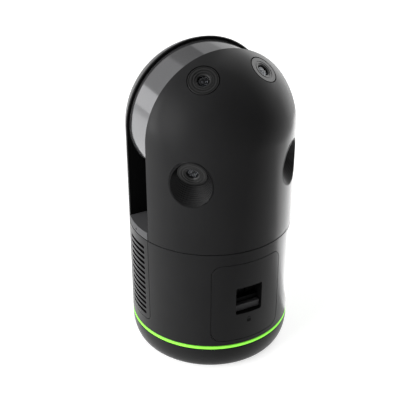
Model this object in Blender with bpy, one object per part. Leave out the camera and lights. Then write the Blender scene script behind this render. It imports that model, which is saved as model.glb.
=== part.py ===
"""Compact panoramic laser scanner: a capsule-shaped head that turns on a rounded foot.

A vertical slot splits the upper half of the head. A mirror drum spins in it between two hoods,
one of which carries four cameras. A battery pack slides out of the side of the lower body.

Frame: metres, +Z up, origin at the middle of the underside. The slot opens to -Y and +Y, the
camera hood and the battery are on the +X side, and the mirror motor is on the -X side.
"""

import math

import bmesh
import bpy
from mathutils import Matrix, Vector

for old in list(bpy.data.objects):
    bpy.data.objects.remove(old, do_unlink=True)

# ---------------------------------------------------------------- driving dimensions (metres)

GAP = 0.0003                 # seat clearance between neighbouring pieces
RUN_GAP = 0.0004             # clearance in a motor's air gap

BODY_R = 0.0400              # outer radius of the capsule
DOME_Z = 0.1150              # centre of the dome and height of the mirror's spin axis
WALL = 0.0020                # wall of the shells
SEGMENTS = 40                # facets round the body
DOME_RINGS = 9               # facets from the dome's foot to its top

FOOT_ROUND_R = 0.0052        # inward reach of the foot's rounded edge
FOOT_ROUND_Z = 0.0115        # height of the foot's rounded edge
FOOT_RIM = 0.0011            # straight rim above the rounded edge
FOOT_LIFT = 0.0003           # underside of the foot above the table
FOOT_FLOOR = 0.0028          # thickness of the foot's floor above the pad recess
PAD_IN_R = 0.0200
PAD_OUT_R = 0.0330
PAD_THICK = 0.0015

INSERT_BORE_R = 0.0031
INSERT_R = 0.0080
INSERT_HEIGHT = 0.0100
POST_WALL = 0.0027
POST_HEIGHT = 0.0064         # post above the foot's floor
BEARING_WALL = 0.0034
HUB_WALL = 0.0020
STATOR_WALL = 0.0065
MAGNET_WALL = 0.0025
MOTOR_HEIGHT = 0.0050

LIGHT_HEIGHT = 0.0016        # green ring
LIGHT_DEPTH = 0.0030
FLOOR_PLATE = 0.0042         # thickness of the head's floor

SLOT_HALF = 0.0103           # half width of the scan slot
SILL_RISE = 0.0042           # slot floor above the seam between lower body and hoods
SILL_PLATE = 0.0023
SILL_BLOCK = 0.0060          # depth of the sill's end blocks
PINHOLE_R = 0.00045
PINHOLE_DEPTH = 0.0020
PINHOLE_RISE = 0.0016        # pinhole above the sill's lower edge

LIP = 0.0007                 # hood edge left outside the cheek plate
CHEEK_THICK = 0.0012
EDGE_BREAK = 0.0005          # chamfer of the hood's slot edge

VENT_COUNT = 14
VENT_PITCH = 0.00288
VENT_DROP = 0.0051           # highest cooling slot below the seam
VENT_HALF = 0.0072
VENT_HEIGHT = 0.0012
STRIP_BOTTOM_Z = 0.0205
STRIP_CORNER_R = 0.0030
STRIP_WALL = 0.0018

PANEL_LAP = 0.0014           # reach of the panel above and below the pack
PANEL_SIDE_LAP = 0.0012
PANEL_CORNER_R = 0.0050
POCKET_HALF = 0.0070
POCKET_BOTTOM_Z = 0.0320
POCKET_TOP_Z = 0.0468
POCKET_CORNER_R = 0.0008
POCKET_DEPTH = 0.0072
POCKET_WALL = 0.0012

PACK_HALF = 0.0170
PACK_BOTTOM_Z = 0.0189
PACK_HEIGHT = 0.0397
PACK_BACK_X = -0.0064
PACK_EDGE = 0.0020
BAY_WALL = 0.0012
BAY_HEADROOM = 0.00375       # room above the bay for the latch bolt

CONTACT_HALF = 0.0070
CONTACT_LOW_Z = 0.0280
CONTACT_HIGH_Z = 0.0350
BLADE_COUNT = 4
BLADE_PITCH = 0.0034
BLADE_THICK = 0.0007
BLADE_REACH = 0.0034

SLIDER_HEIGHT = 0.0063
SLIDER_STEP = 0.0030         # height of the slider's lower, prouder step
SLIDER_PROUD = 0.0042
SLIDER_SHORT = 0.0026
LATCH_TRAVEL = 0.0040
NECK_HALF = 0.0016
NECK_HEIGHT = 0.0030
STEM_HALF = 0.0040
STEM_THICK = 0.0014

BUTTON_R = 0.0050
BUTTON_Z = 0.0400
BUTTON_FLANGE = 0.0008
BUTTON_TRAVEL = 0.0008
BUTTON_SINK = 0.0004         # button face below the shell's surface
BUTTON_STEM = 0.0012

CHASSIS_THICK = 0.0020
BOARD_HALF = 0.0180
BOARD_THICK = 0.0016
BOARD_MARGIN = 0.0040
CHIPS = ((-0.44, 0.31, 0.33), (0.50, 0.39, 0.22), (0.17, 0.74, 0.28))   # across, up, half size
STANDOFF_R = 0.0018
DECK_THICK = 0.0023
FIN_COUNT = 6
FIN_PITCH = 0.0036
FIN_THICK = 0.0012
SINK_PLATE = 0.0016

DOME_LENS_AZ = math.radians(35.8)
DOME_LENS_EL = math.radians(49.2)
SIDE_LENS_AZ = math.radians(40.9)
SIDE_LENS_TILT = math.radians(20.0)   # lower lenses look this far below the horizon
SIDE_LENS_DEPTH = 0.0030              # lens face centre behind the body surface
SIDE_LENS_DROP = 0.0098               # lens face centre below the spin axis
BEZEL_R = 0.0068
BEZEL_THICK = 0.0016
LENS_R = 0.0024
BARREL_R = 0.0036
BARREL_LENGTH = 0.0030
SENSOR_R = 0.0048
SENSOR_THICK = 0.0018
CUP_MOUTH_R = 0.0106
CUP_DROP = 0.0037            # middle of the cup's mouth below the lens face centre
CUP_WALL = 0.0012
CUP_EDGE = 0.0004
CUP_BACK = 0.0022
CUP_RIBS = 5
CUP_RIB_DEPTH = 0.0005
CUP_SIDES = 20

DRUM_SETBACK = 0.0034        # drum's skin inside the body's outline
DRUM_WEB = 0.0030
DRUM_SKIN = 0.0030
DRUM_CELL_IN_R = 0.0150
DRUM_CELLS = 8
DRUM_RIB = 0.0020
BEAM_R = 0.0088
MIRROR_THICK = 0.0015
SOCKET_X = -0.0070           # end of the shaft's socket in the drum

SHAFT_R = 0.0030
SHAFT_BEARING_R = 0.0062
BRACKET_THICK = 0.0020
BRACKET_HALF = 0.0160
BRACKET_EYE_R = 0.0170
MOTOR_R = 0.0150
MOTOR_WALL = 0.0017
MOTOR_LENGTH = 0.0160
SPIN_STATOR_LENGTH = 0.0090
SPIN_MAGNET_R = 0.0082
ENCODER_R = 0.0120
ENCODER_THICK = 0.0008

LASER_R = 0.0110
LASER_LENGTH = 0.0180
LASER_BOARD_HALF = 0.0110

# ------------------------------------------------------------------------ derived positions

RUN_Z = FOOT_ROUND_Z + FOOT_RIM           # top of the foot
HEAD_Z = RUN_Z + GAP                      # underside of the turning head
SHELL_Z = HEAD_Z + LIGHT_HEIGHT + GAP     # bottom of the body shell
FLOOR_TOP = HEAD_Z + FLOOR_PLATE
FOOT_IN_Z = FOOT_LIFT + PAD_THICK + FOOT_FLOOR
POST_R = INSERT_R + GAP + POST_WALL
INNER_R = BODY_R - WALL
INSIDE_R = INNER_R - GAP                  # reach of what sits inside the shells
PACK_TOP_Z = PACK_BOTTOM_Z + PACK_HEIGHT
BAY_HALF = PACK_HALF + GAP + BAY_WALL
BAY_BOTTOM_Z = PACK_BOTTOM_Z - GAP - BAY_WALL
BAY_TOP_Z = PACK_TOP_Z + GAP + BAY_WALL
BAY_BACK_X = PACK_BACK_X - GAP - BAY_WALL
CHASSIS_X = BAY_BACK_X - GAP
PANEL_HALF = PACK_HALF + PANEL_SIDE_LAP
PANEL_BOTTOM_Z = PACK_BOTTOM_Z - PANEL_LAP
PANEL_TOP_Z = PACK_TOP_Z + PANEL_LAP
DECK_Z = BAY_TOP_Z + BAY_HEADROOM
LOWER_TOP = DECK_Z + DECK_THICK
SEAM_Z = LOWER_TOP + GAP / 2              # seam between lower body and hoods
UPPER_Z = SEAM_Z + GAP / 2
SLOT_FLOOR_Z = SEAM_Z + SILL_RISE
VENT_TOP_Z = SEAM_Z - VENT_DROP           # middle of the highest cooling slot
STRIP_HALF = SLOT_HALF - GAP
DRUM_HALF = SLOT_HALF - GAP
DRUM_R = BODY_R - DRUM_SETBACK
CHEEK_BACK = SLOT_HALF + CHEEK_THICK
LENS_HOLE_R = BEZEL_R + GAP
SIDE_LENS_Z = DOME_Z - SIDE_LENS_DROP
CUP_MOUTH_Z = SIDE_LENS_Z - CUP_DROP
POCKET_X = BODY_R - POCKET_DEPTH
POCKET_BACK_X = POCKET_X - POCKET_WALL
STEM_X = POCKET_BACK_X - GAP - STEM_THICK
SLIDER_LOW_Z = POCKET_BOTTOM_Z + GAP
NECK_LOW_Z = SLIDER_LOW_Z + (SLIDER_HEIGHT - NECK_HEIGHT) / 2
FAR = 0.2                                 # reach of cutters that run past the body


# ---------------------------------------------------------------------------------- materials

def material(name, colour, rough, metal=0.0):
    """A Principled material in one plain colour."""
    made = bpy.data.materials.new(name)
    made.use_nodes = True
    shader = made.node_tree.nodes["Principled BSDF"]
    shader.inputs["Base Color"].default_value = (*colour, 1.0)
    shader.inputs["Roughness"].default_value = rough
    shader.inputs["Metallic"].default_value = metal
    return made


CHARCOAL = material("charcoal_shell", (0.045, 0.045, 0.047), 0.45, 0.3)
BLACK = material("black_plastic", (0.006, 0.006, 0.006), 0.5)
GREY = material("lens_grey", (0.06, 0.06, 0.062), 0.35)
DRUM = material("drum_gloss", (0.09, 0.09, 0.095), 0.12, 0.6)
GREEN = material("green_light", (0.3, 0.9, 0.1), 0.4)
RUBBER = material("rubber", (0.02, 0.02, 0.02), 0.8)
STEEL = material("steel", (0.55, 0.55, 0.56), 0.3, 1.0)
ALUMINIUM = material("raw_aluminium", (0.6, 0.6, 0.62), 0.4, 1.0)
COPPER = material("winding", (0.6, 0.28, 0.12), 0.4, 0.8)
BOARD = material("board_green", (0.02, 0.14, 0.07), 0.5)
GLASS = material("lens_glass", (0.02, 0.02, 0.03), 0.05)
MIRROR = material("mirror_face", (0.9, 0.9, 0.9), 0.02, 1.0)
PACK = material("pack_plastic", (0.03, 0.03, 0.032), 0.5)


# ----------------------------------------------------------------------------- shape helpers

def finish(name, bm, look=None):
    """Turn a bmesh into an object with smooth round sides and sharp edges."""
    bmesh.ops.remove_doubles(bm, verts=bm.verts, dist=1e-6)
    bmesh.ops.recalc_face_normals(bm, faces=bm.faces)
    mesh = bpy.data.meshes.new(name)
    bm.to_mesh(mesh)
    bm.free()
    mesh.shade_smooth()
    mesh.set_sharp_from_angle(angle=math.radians(35))
    made = bpy.data.objects.new(name, mesh)
    bpy.context.scene.collection.objects.link(made)
    if look is not None:
        mesh.materials.append(look)
    return made


def boolean(target, tool, operation="DIFFERENCE"):
    """Add a Boolean of the tool to the target; the tool stays in the scene as a wire."""
    tool.hide_render = True
    tool.display_type = "WIRE"
    modifier = target.modifiers.new(f"{operation.lower()}_{tool.name}", "BOOLEAN")
    modifier.operation = operation
    modifier.object = tool
    modifier.solver = "EXACT"


def add_turned(bm, profile, segments, place=Matrix()):
    """Spin a profile of (radius, height) points about Z, then place it."""
    points = [bm.verts.new((radius, 0.0, height)) for radius, height in profile]
    edges = [bm.edges.new(pair) for pair in zip(points, points[1:])]
    if profile[0][0] > 0.0:
        edges.append(bm.edges.new((points[-1], points[0])))
    before = set(bm.verts)
    bmesh.ops.spin(bm, geom=points + edges, cent=(0, 0, 0), axis=(0, 0, 1), angle=math.tau,
                   steps=segments, use_merge=True)
    moved = points + [vert for vert in bm.verts if vert not in before]
    bmesh.ops.transform(bm, matrix=place, verts=moved)


def turned(name, profile, look=None, segments=SEGMENTS, place=Matrix()):
    """One turned piece."""
    bm = bmesh.new()
    add_turned(bm, profile, segments, place)
    return finish(name, bm, look)


def ring_profile(inner, outer, low, high):
    """Rectangular section of a ring."""
    return [(inner, low), (outer, low), (outer, high), (inner, high)]


def disc_profile(radius, low, high):
    """Section of a plain disc."""
    return [(0.0, low), (radius, low), (radius, high), (0.0, high)]


def add_prism(bm, outline, axis, low, high):
    """Extrude an outline along an axis; its points run in the other two axes, in order."""
    spread = {"X": (1, 2), "Y": (0, 2), "Z": (0, 1)}[axis]
    depth = "XYZ".index(axis)
    corners = []
    for first, second in outline:
        point = [0.0, 0.0, 0.0]
        point[spread[0]] = first
        point[spread[1]] = second
        point[depth] = low
        corners.append(bm.verts.new(point))
    face = bm.faces.new(corners)
    grown = bmesh.ops.extrude_face_region(bm, geom=[face])["geom"]
    shift = [0.0, 0.0, 0.0]
    shift[depth] = high - low
    moved = [part for part in grown if isinstance(part, bmesh.types.BMVert)]
    bmesh.ops.translate(bm, vec=shift, verts=moved)


def prism(name, outline, axis, low, high, look=None):
    """One extruded piece."""
    bm = bmesh.new()
    add_prism(bm, outline, axis, low, high)
    return finish(name, bm, look)


def loft(name, rings, look=None):
    """Skin a row of equal loops and cap its two ends."""
    bm = bmesh.new()
    loops = [[bm.verts.new(point) for point in ring] for ring in rings]
    count = len(rings[0])
    for lower, upper in zip(loops, loops[1:]):
        for index in range(count):
            after = (index + 1) % count
            bm.faces.new((lower[index], lower[after], upper[after], upper[index]))
    bm.faces.new(list(reversed(loops[0])))
    bm.faces.new(loops[-1])
    return finish(name, bm, look)


def rectangle(left, right, bottom, top):
    """Outline of a plain rectangle."""
    return [(left, bottom), (right, bottom), (right, top), (left, top)]


def block(name, x_span, y_span, z_span, look=None):
    """Axis-aligned block from three spans."""
    return prism(name, rectangle(*x_span, *y_span), "Z", *z_span, look)


def arc_points(radius, start, end, steps, first=0.0, second=0.0):
    """Points along an arc, both ends included, angles in degrees."""
    points = []
    for step in range(steps + 1):
        angle = math.radians(start + (end - start) * step / steps)
        points.append((first + radius * math.cos(angle), second + radius * math.sin(angle)))
    return points


def rounded(left, right, bottom, top, radii, steps=4):
    """Rectangle with a radius at its lower left, lower right, upper right and upper left."""
    centres = [
        (left + radii[0], bottom + radii[0], radii[0], 180),
        (right - radii[1], bottom + radii[1], radii[1], 270),
        (right - radii[2], top - radii[2], radii[2], 0),
        (left + radii[3], top - radii[3], radii[3], 90),
    ]
    outline = []
    for x, y, radius, start in centres:
        if radius > 0.0:
            outline += arc_points(radius, start, start + 90, steps, x, y)
        else:
            outline.append((x, y))
    return outline


def capsule_points(radius, low):
    """Half outline of the capsule, from its lower rim up to the pole."""
    points = [(radius, low)]
    points += arc_points(radius, 0, 90, DOME_RINGS, 0.0, DOME_Z)
    points[-1] = (0.0, DOME_Z + radius)
    return points


def capsule(name, radius, low, look=None):
    """Solid capsule, also used to trim pieces to the body's outside."""
    return turned(name, [(0.0, low)] + capsule_points(radius, low), look)


def side_slab(name, side, distance, thick=FAR):
    """Slab that starts at a distance on the -X or +X side of the middle."""
    span = sorted((side * distance, side * (distance + thick)))
    return block(name, span, (-FAR, FAR), (-FAR, FAR))


def inside_limit(name, radius):
    """Solid cylinder that trims a piece to the inside of the shells."""
    return turned(name, disc_profile(radius, 0.0, DOME_Z))


def spindle():
    """Placement that turns +Z to +X on the mirror's spin axis."""
    return Matrix.Translation((0.0, 0.0, DOME_Z)) @ Matrix.Rotation(math.radians(90), 4, "Y")


# ------------------------------------------------------------------------------------- foot

def foot_outside():
    """Rounded edge of the foot from its underside up to the rim."""
    points = []
    start = math.asin((FOOT_ROUND_Z - FOOT_LIFT) / FOOT_ROUND_Z)
    steps = 5
    for step in range(steps + 1):
        angle = start * (1 - step / steps)
        radius = BODY_R - FOOT_ROUND_R * (1 - math.cos(angle))
        points.append((radius, FOOT_ROUND_Z * (1 - math.sin(angle))))
    return points + [(BODY_R, RUN_Z)]


def build_foot():
    """Foot shell with its bearing post, rubber pad and tripod insert."""
    recess = FOOT_LIFT + PAD_THICK + GAP
    bore = INSERT_R + GAP
    profile = [(bore, FOOT_LIFT), (PAD_IN_R - GAP, FOOT_LIFT)]
    profile += [(PAD_IN_R - GAP, recess), (PAD_OUT_R + GAP, recess), (PAD_OUT_R + GAP, FOOT_LIFT)]
    profile += foot_outside()
    profile += [(INNER_R, RUN_Z), (INNER_R, FOOT_ROUND_Z - WALL)]
    profile += [(BODY_R - FOOT_ROUND_R - WALL / 2, FOOT_IN_Z)]
    profile += [(POST_R, FOOT_IN_Z), (POST_R, FOOT_IN_Z + POST_HEIGHT), (bore, FOOT_IN_Z + POST_HEIGHT)]
    turned("foot_shell", profile, CHARCOAL)
    turned("foot_pad", ring_profile(PAD_IN_R, PAD_OUT_R, 0.0, PAD_THICK), RUBBER, 32)
    insert = ring_profile(INSERT_BORE_R, INSERT_R, FOOT_LIFT, FOOT_LIFT + INSERT_HEIGHT)
    turned("mount_insert", insert, STEEL, 20)


def build_pan_drive():
    """Bearing and motor rings, nested outwards from the foot's post, and the head's floor."""
    low = FOOT_IN_Z + GAP
    high = low + MOTOR_HEIGHT
    bearing = POST_R + GAP
    turned("pan_bearing", ring_profile(bearing, bearing + BEARING_WALL, low, high), STEEL, 28)
    hub = bearing + BEARING_WALL + GAP
    stator = hub + HUB_WALL + GAP
    turned("pan_stator", ring_profile(stator, stator + STATOR_WALL, low + GAP, high), COPPER, 28)
    magnet = stator + STATOR_WALL + RUN_GAP
    turned("pan_magnet_ring", ring_profile(magnet, magnet + MAGNET_WALL, low, high), STEEL, 28)

    flange = BODY_R - LIGHT_DEPTH - GAP
    profile = [(0.0, HEAD_Z), (hub, HEAD_Z), (hub, low + GAP), (hub + HUB_WALL, low + GAP)]
    profile += [(hub + HUB_WALL, HEAD_Z), (flange, HEAD_Z), (flange, SHELL_Z)]
    profile += [(INSIDE_R, SHELL_Z), (INSIDE_R, FLOOR_TOP), (0.0, FLOOR_TOP)]
    turned("head_floor", profile, ALUMINIUM)
    light = ring_profile(BODY_R - LIGHT_DEPTH, BODY_R, HEAD_Z, HEAD_Z + LIGHT_HEIGHT)
    turned("light_ring", light, GREEN)


# ------------------------------------------------------------------------------- lower body

def strip_outline(grow=0.0, top=LOWER_TOP):
    """Front outline of a vent strip, rounded at its lower corners."""
    half = STRIP_HALF + grow
    radius = STRIP_CORNER_R + grow
    return rounded(-half, half, STRIP_BOTTOM_Z - grow, top, (radius, radius, 0.0, 0.0))


def panel_outline(grow=0.0):
    """Outline of the battery panel seen from the side."""
    half = PANEL_HALF + grow
    radius = PANEL_CORNER_R + grow
    return rounded(-half, half, PANEL_BOTTOM_Z - grow, PANEL_TOP_Z + grow, (radius,) * 4)


def build_body_shell():
    """Lower tube with its battery window, vent openings and button hole."""
    shell = turned("body_shell", ring_profile(INNER_R, BODY_R, SHELL_Z, LOWER_TOP), CHARCOAL)
    boolean(shell, prism("battery_window", panel_outline(GAP), "X", BODY_R / 2, FAR))
    openings = bmesh.new()
    for low, high in ((-FAR, -BODY_R / 2), (BODY_R / 2, FAR)):
        add_prism(openings, strip_outline(GAP, LOWER_TOP + WALL), "Y", low, high)
    boolean(shell, finish("vent_openings", openings))
    hole = arc_points(BUTTON_R + GAP, 0, 342, 19, 0.0, BUTTON_Z)
    boolean(shell, prism("button_hole", hole, "X", -FAR, -BODY_R / 2))


def build_vent(name, side):
    """Curved strip with a ladder of cooling slots, on the -Y or +Y side."""
    strip = turned(name, ring_profile(BODY_R - STRIP_WALL, BODY_R, SHELL_Z, SEAM_Z), CHARCOAL)
    near, far = sorted((side * BODY_R / 2, side * FAR))
    boolean(strip, prism(f"{name}_outline", strip_outline(), "Y", near, far), "INTERSECT")
    slots = bmesh.new()
    for index in range(VENT_COUNT):
        middle = VENT_TOP_Z - index * VENT_PITCH
        low, high = middle - VENT_HEIGHT / 2, middle + VENT_HEIGHT / 2
        slot = rounded(-VENT_HALF, VENT_HALF, low, high, (VENT_HEIGHT * 0.45,) * 4, 1)
        add_prism(slots, slot, "Y", near, far)
    boolean(strip, finish(f"{name}_slots", slots))


def build_chassis():
    """Upright plate with standoffs, main board, and the deck that closes the lower body."""
    back = CHASSIS_X - CHASSIS_THICK
    low = FLOOR_TOP + GAP
    high = DECK_Z - GAP
    chassis = block("chassis_frame", (back, CHASSIS_X), (-BAY_HALF, BAY_HALF), (low, high), ALUMINIUM)
    standoffs = bmesh.new()
    board_low, board_high = low + BOARD_MARGIN, high - BOARD_MARGIN
    for y in (-BOARD_HALF + BOARD_MARGIN, BOARD_HALF - BOARD_MARGIN):
        for z in (board_low + BOARD_MARGIN, board_high - BOARD_MARGIN):
            post = arc_points(STANDOFF_R, 0, 315, 7, y, z)
            add_prism(standoffs, post, "X", back - STANDOFF_R, back + GAP)
    boolean(chassis, finish("standoffs", standoffs), "UNION")

    board_x = back - STANDOFF_R - GAP
    board_span = (board_low, board_high)
    board = block("main_board", (board_x - BOARD_THICK, board_x), (-BOARD_HALF, BOARD_HALF), board_span,
                  BOARD)
    chips = bmesh.new()
    chip_x = board_x - BOARD_THICK
    for across, up, size in CHIPS:
        y, z = across * BOARD_HALF, board_low + up * (board_high - board_low)
        half = size * BOARD_HALF
        outline = rectangle(y - half, y + half, z - half, z + half)
        add_prism(chips, outline, "X", chip_x - BOARD_THICK, chip_x + GAP)
    boolean(board, finish("chips", chips), "UNION")
    turned("upper_deck", disc_profile(INSIDE_R, DECK_Z, LOWER_TOP), ALUMINIUM)


def build_heat_sink(name, side):
    """Finned sink between the battery bay and a vent strip."""
    root = BAY_HALF + GAP
    span = FIN_PITCH * (FIN_COUNT - 1) + FIN_THICK
    low, high = FLOOR_TOP + GAP, BAY_TOP_Z
    plate = sorted((side * root, side * (root + SINK_PLATE)))
    sink = block(name, (-span / 2, span / 2), plate, (low, high), ALUMINIUM)
    fins = bmesh.new()
    reach = sorted((side * (root + SINK_PLATE - GAP), side * BODY_R))
    for index in range(FIN_COUNT):
        x = -span / 2 + index * FIN_PITCH
        add_prism(fins, rectangle(x, x + FIN_THICK, *reach), "Z", low, high)
    boolean(sink, finish(f"{name}_fins", fins), "UNION")
    boolean(sink, inside_limit(f"{name}_limit", BODY_R - STRIP_WALL - GAP), "INTERSECT")


def build_button():
    """Power button on the -X side and the bracket that carries its switch."""
    flange_r = BUTTON_R + BUTTON_FLANGE
    flange_x = -math.sqrt(INNER_R ** 2 - flange_r ** 2) + GAP
    flange_in = flange_x + BUTTON_FLANGE
    stem_end = flange_in + BUTTON_STEM
    profile = [(0.0, -BODY_R), (BUTTON_R, -BODY_R), (BUTTON_R, flange_x), (flange_r, flange_x)]
    profile += [(flange_r, flange_in), (BUTTON_STEM, flange_in), (BUTTON_STEM, stem_end)]
    profile += [(0.0, stem_end)]
    place = Matrix.Translation((0.0, 0.0, BUTTON_Z)) @ Matrix.Rotation(math.radians(90), 4, "Y")
    button = turned("power_button", profile, BLACK, 20, place)
    boolean(button, inside_limit("button_face", BODY_R - BUTTON_SINK), "INTERSECT")

    switch_face = stem_end + BUTTON_TRAVEL + GAP
    plate_x = switch_face + BUTTON_R / 2
    bracket = block("switch_bracket", (plate_x, plate_x + CHASSIS_THICK), (-BUTTON_R, BUTTON_R),
                    (FLOOR_TOP + GAP, BUTTON_Z + BUTTON_R), ALUMINIUM)
    half = BUTTON_R / 2
    switch = rectangle(-half, half, BUTTON_Z - half, BUTTON_Z + half)
    boolean(bracket, prism("switch_body", switch, "X", switch_face, plate_x + GAP), "UNION")


# ---------------------------------------------------------------------------------- battery

def pocket_half():
    """Half width of the pocket's box outside its walls."""
    return POCKET_HALF + POCKET_WALL


def build_panel():
    """Panel that closes the battery window, with the finger pocket let into it."""
    panel = turned("battery_panel", ring_profile(INNER_R, BODY_R, SHELL_Z, LOWER_TOP), CHARCOAL)
    boolean(panel, prism("panel_outline", panel_outline(), "X", BODY_R / 2, FAR), "INTERSECT")
    half = pocket_half()
    box_z = (POCKET_BOTTOM_Z - POCKET_WALL, POCKET_TOP_Z + POCKET_WALL)
    boolean(panel, block("pocket_box", (POCKET_BACK_X, INNER_R + GAP), (-half, half), box_z), "UNION")
    corners = (POCKET_CORNER_R,) * 4
    hollow = rounded(-POCKET_HALF, POCKET_HALF, POCKET_BOTTOM_Z, POCKET_TOP_Z, corners, 3)
    boolean(panel, prism("pocket_hollow", hollow, "X", POCKET_X, FAR))
    neck = rectangle(-NECK_HALF - GAP, NECK_HALF + GAP, NECK_LOW_Z - GAP,
                     NECK_LOW_Z + NECK_HEIGHT + LATCH_TRAVEL + GAP)
    boolean(panel, prism("neck_slot", neck, "X", POCKET_BACK_X - GAP, POCKET_X + GAP))


def build_pack():
    """Battery pack with room for the pocket, a channel for the latch and a contact recess."""
    outline = rounded(-PACK_HALF, PACK_HALF, PACK_BOTTOM_Z, PACK_TOP_Z, (PACK_EDGE,) * 4, 3)
    pack = prism("battery_pack", outline, "X", PACK_BACK_X, BODY_R, PACK)
    boolean(pack, inside_limit("pack_limit", INSIDE_R), "INTERSECT")
    half = pocket_half() + GAP
    room = (POCKET_BOTTOM_Z - POCKET_WALL - GAP, POCKET_TOP_Z + POCKET_WALL + GAP)
    boolean(pack, block("pocket_room", (POCKET_BACK_X - GAP, FAR), (-half, half), room))
    channel_y = (-STEM_HALF - GAP, STEM_HALF + GAP)
    boolean(pack, block("stem_channel", (STEM_X - GAP, FAR), channel_y, (NECK_LOW_Z - GAP, FAR)))
    recess = (PACK_BACK_X - GAP, PACK_BACK_X + BLADE_REACH + GAP)
    boolean(pack, block("blade_recess", recess, (-CONTACT_HALF, CONTACT_HALF),
                        (CONTACT_LOW_Z, CONTACT_HIGH_Z)))


def build_bay():
    """Tray that guides the pack, with a contact window and a hole for the latch bolt."""
    bay = block("battery_bay", (BAY_BACK_X, BODY_R), (-BAY_HALF, BAY_HALF), (BAY_BOTTOM_Z, BAY_TOP_Z),
                ALUMINIUM)
    boolean(bay, inside_limit("bay_limit", INSIDE_R), "INTERSECT")
    inside = PACK_HALF + GAP
    boolean(bay, block("bay_hollow", (PACK_BACK_X - GAP, FAR), (-inside, inside),
                       (PACK_BOTTOM_Z - GAP, PACK_TOP_Z + GAP)))
    boolean(bay, block("bolt_hole", (STEM_X - GAP, STEM_X + STEM_THICK + GAP),
                       (-STEM_HALF - GAP, STEM_HALF + GAP), (PACK_TOP_Z, FAR)))
    boolean(bay, block("contact_window", (-FAR, PACK_BACK_X), (-CONTACT_HALF - GAP, CONTACT_HALF + GAP),
                       (CONTACT_LOW_Z - GAP, CONTACT_HIGH_Z + GAP)))

    contacts = block("battery_contacts", (BAY_BACK_X, PACK_BACK_X - GAP), (-CONTACT_HALF, CONTACT_HALF),
                     (CONTACT_LOW_Z, CONTACT_HIGH_Z), BLACK)
    blades = bmesh.new()
    for index in range(BLADE_COUNT):
        y = (index - (BLADE_COUNT - 1) / 2) * BLADE_PITCH
        outline = rectangle(BAY_BACK_X + GAP, PACK_BACK_X + BLADE_REACH, y, y + BLADE_THICK)
        add_prism(blades, outline, "Z", CONTACT_LOW_Z + BLADE_THICK, CONTACT_HIGH_Z - BLADE_THICK)
    boolean(contacts, finish("contact_blades", blades), "UNION")


def build_latch():
    """Two-step finger slider joined through the pocket's back to its stem and bolt."""
    face = POCKET_X + GAP
    half = POCKET_HALF - GAP
    step_z = SLIDER_LOW_Z + SLIDER_STEP
    top_z = SLIDER_LOW_Z + SLIDER_HEIGHT
    outline = [(face, SLIDER_LOW_Z), (face + SLIDER_PROUD, SLIDER_LOW_Z), (face + SLIDER_PROUD, step_z)]
    outline += [(face + SLIDER_SHORT, step_z), (face + SLIDER_SHORT, top_z), (face, top_z)]
    slider = prism("latch_slider", outline, "Y", -half, half, BLACK)
    boolean(slider, block("latch_neck", (STEM_X + GAP, face + GAP), (-NECK_HALF, NECK_HALF),
                          (NECK_LOW_Z, NECK_LOW_Z + NECK_HEIGHT)), "UNION")
    boolean(slider, block("latch_stem", (STEM_X, STEM_X + STEM_THICK), (-STEM_HALF, STEM_HALF),
                          (NECK_LOW_Z, PACK_TOP_Z)), "UNION")


# ----------------------------------------------------------------------- slot floor and hoods

def build_slot_floor():
    """Sill that spans the slot from front to back, with a pinhole in its front."""
    floor = block("slot_floor", (-STRIP_HALF, STRIP_HALF), (-BODY_R, BODY_R), (UPPER_Z, SLOT_FLOOR_Z),
                  CHARCOAL)
    boolean(floor, inside_limit("floor_limit", BODY_R), "INTERSECT")
    reach = BODY_R - SILL_BLOCK
    side = STRIP_HALF - WALL
    boolean(floor, block("floor_hollow", (-side, side), (-reach, reach), (0.0, SLOT_FLOOR_Z - SILL_PLATE)))
    hole = arc_points(PINHOLE_R, 0, 315, 7, 0.0, UPPER_Z + PINHOLE_RISE)
    boolean(floor, prism("pinhole", hole, "Y", -FAR, -BODY_R + PINHOLE_DEPTH))


def build_hood(name, side):
    """Half of the domed upper shell, with a rebate for its cheek plate and a broken edge."""
    inner = capsule_points(INNER_R, UPPER_Z)
    hood = turned(name, list(reversed(capsule_points(BODY_R, UPPER_Z))) + inner, CHARCOAL)
    boolean(hood, side_slab(f"{name}_side", side, SLOT_HALF), "INTERSECT")
    rebate = capsule(f"{name}_rebate", BODY_R - LIP, 0.0)
    depth = WALL + CHEEK_THICK + GAP
    boolean(rebate, side_slab(f"{name}_slab", side, SLOT_HALF - WALL, depth), "INTERSECT")
    boolean(hood, rebate)
    boolean(hood, edge_break(f"{name}_edge", side))
    return hood


def edge_break(name, side):
    """Bar whose slanted face follows the slot's edge up one side, over the dome and down."""
    rim = math.sqrt(BODY_R ** 2 - SLOT_HALF ** 2)
    low = rim - EDGE_BREAK
    section = [(low, SLOT_HALF - WALL), (rim + WALL, SLOT_HALF - WALL),
               (rim + WALL, SLOT_HALF + EDGE_BREAK + WALL), (low, SLOT_HALF)]
    rings = [[(side * x, radius, 0.0) for radius, x in section]]
    for y_share, z_share in arc_points(1.0, 0, 180, SEGMENTS // 2):
        rings.append([(side * x, radius * y_share, DOME_Z + radius * z_share) for radius, x in section])
    rings.append([(side * x, -radius, 0.0) for radius, x in section])
    return loft(name, rings)


def build_cheek(name, side, hole_r):
    """Plate that closes a hood towards the slot, with a hole on the spin axis."""
    cheek = capsule(name, BODY_R - LIP - GAP, UPPER_Z, BLACK)
    boolean(cheek, side_slab(f"{name}_slab", side, SLOT_HALF, CHEEK_THICK), "INTERSECT")
    hole = disc_profile(hole_r, -BODY_R, BODY_R)
    boolean(cheek, turned(f"{name}_hole", hole, None, 28, spindle()))


# ------------------------------------------------------------------------------------ cameras

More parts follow.
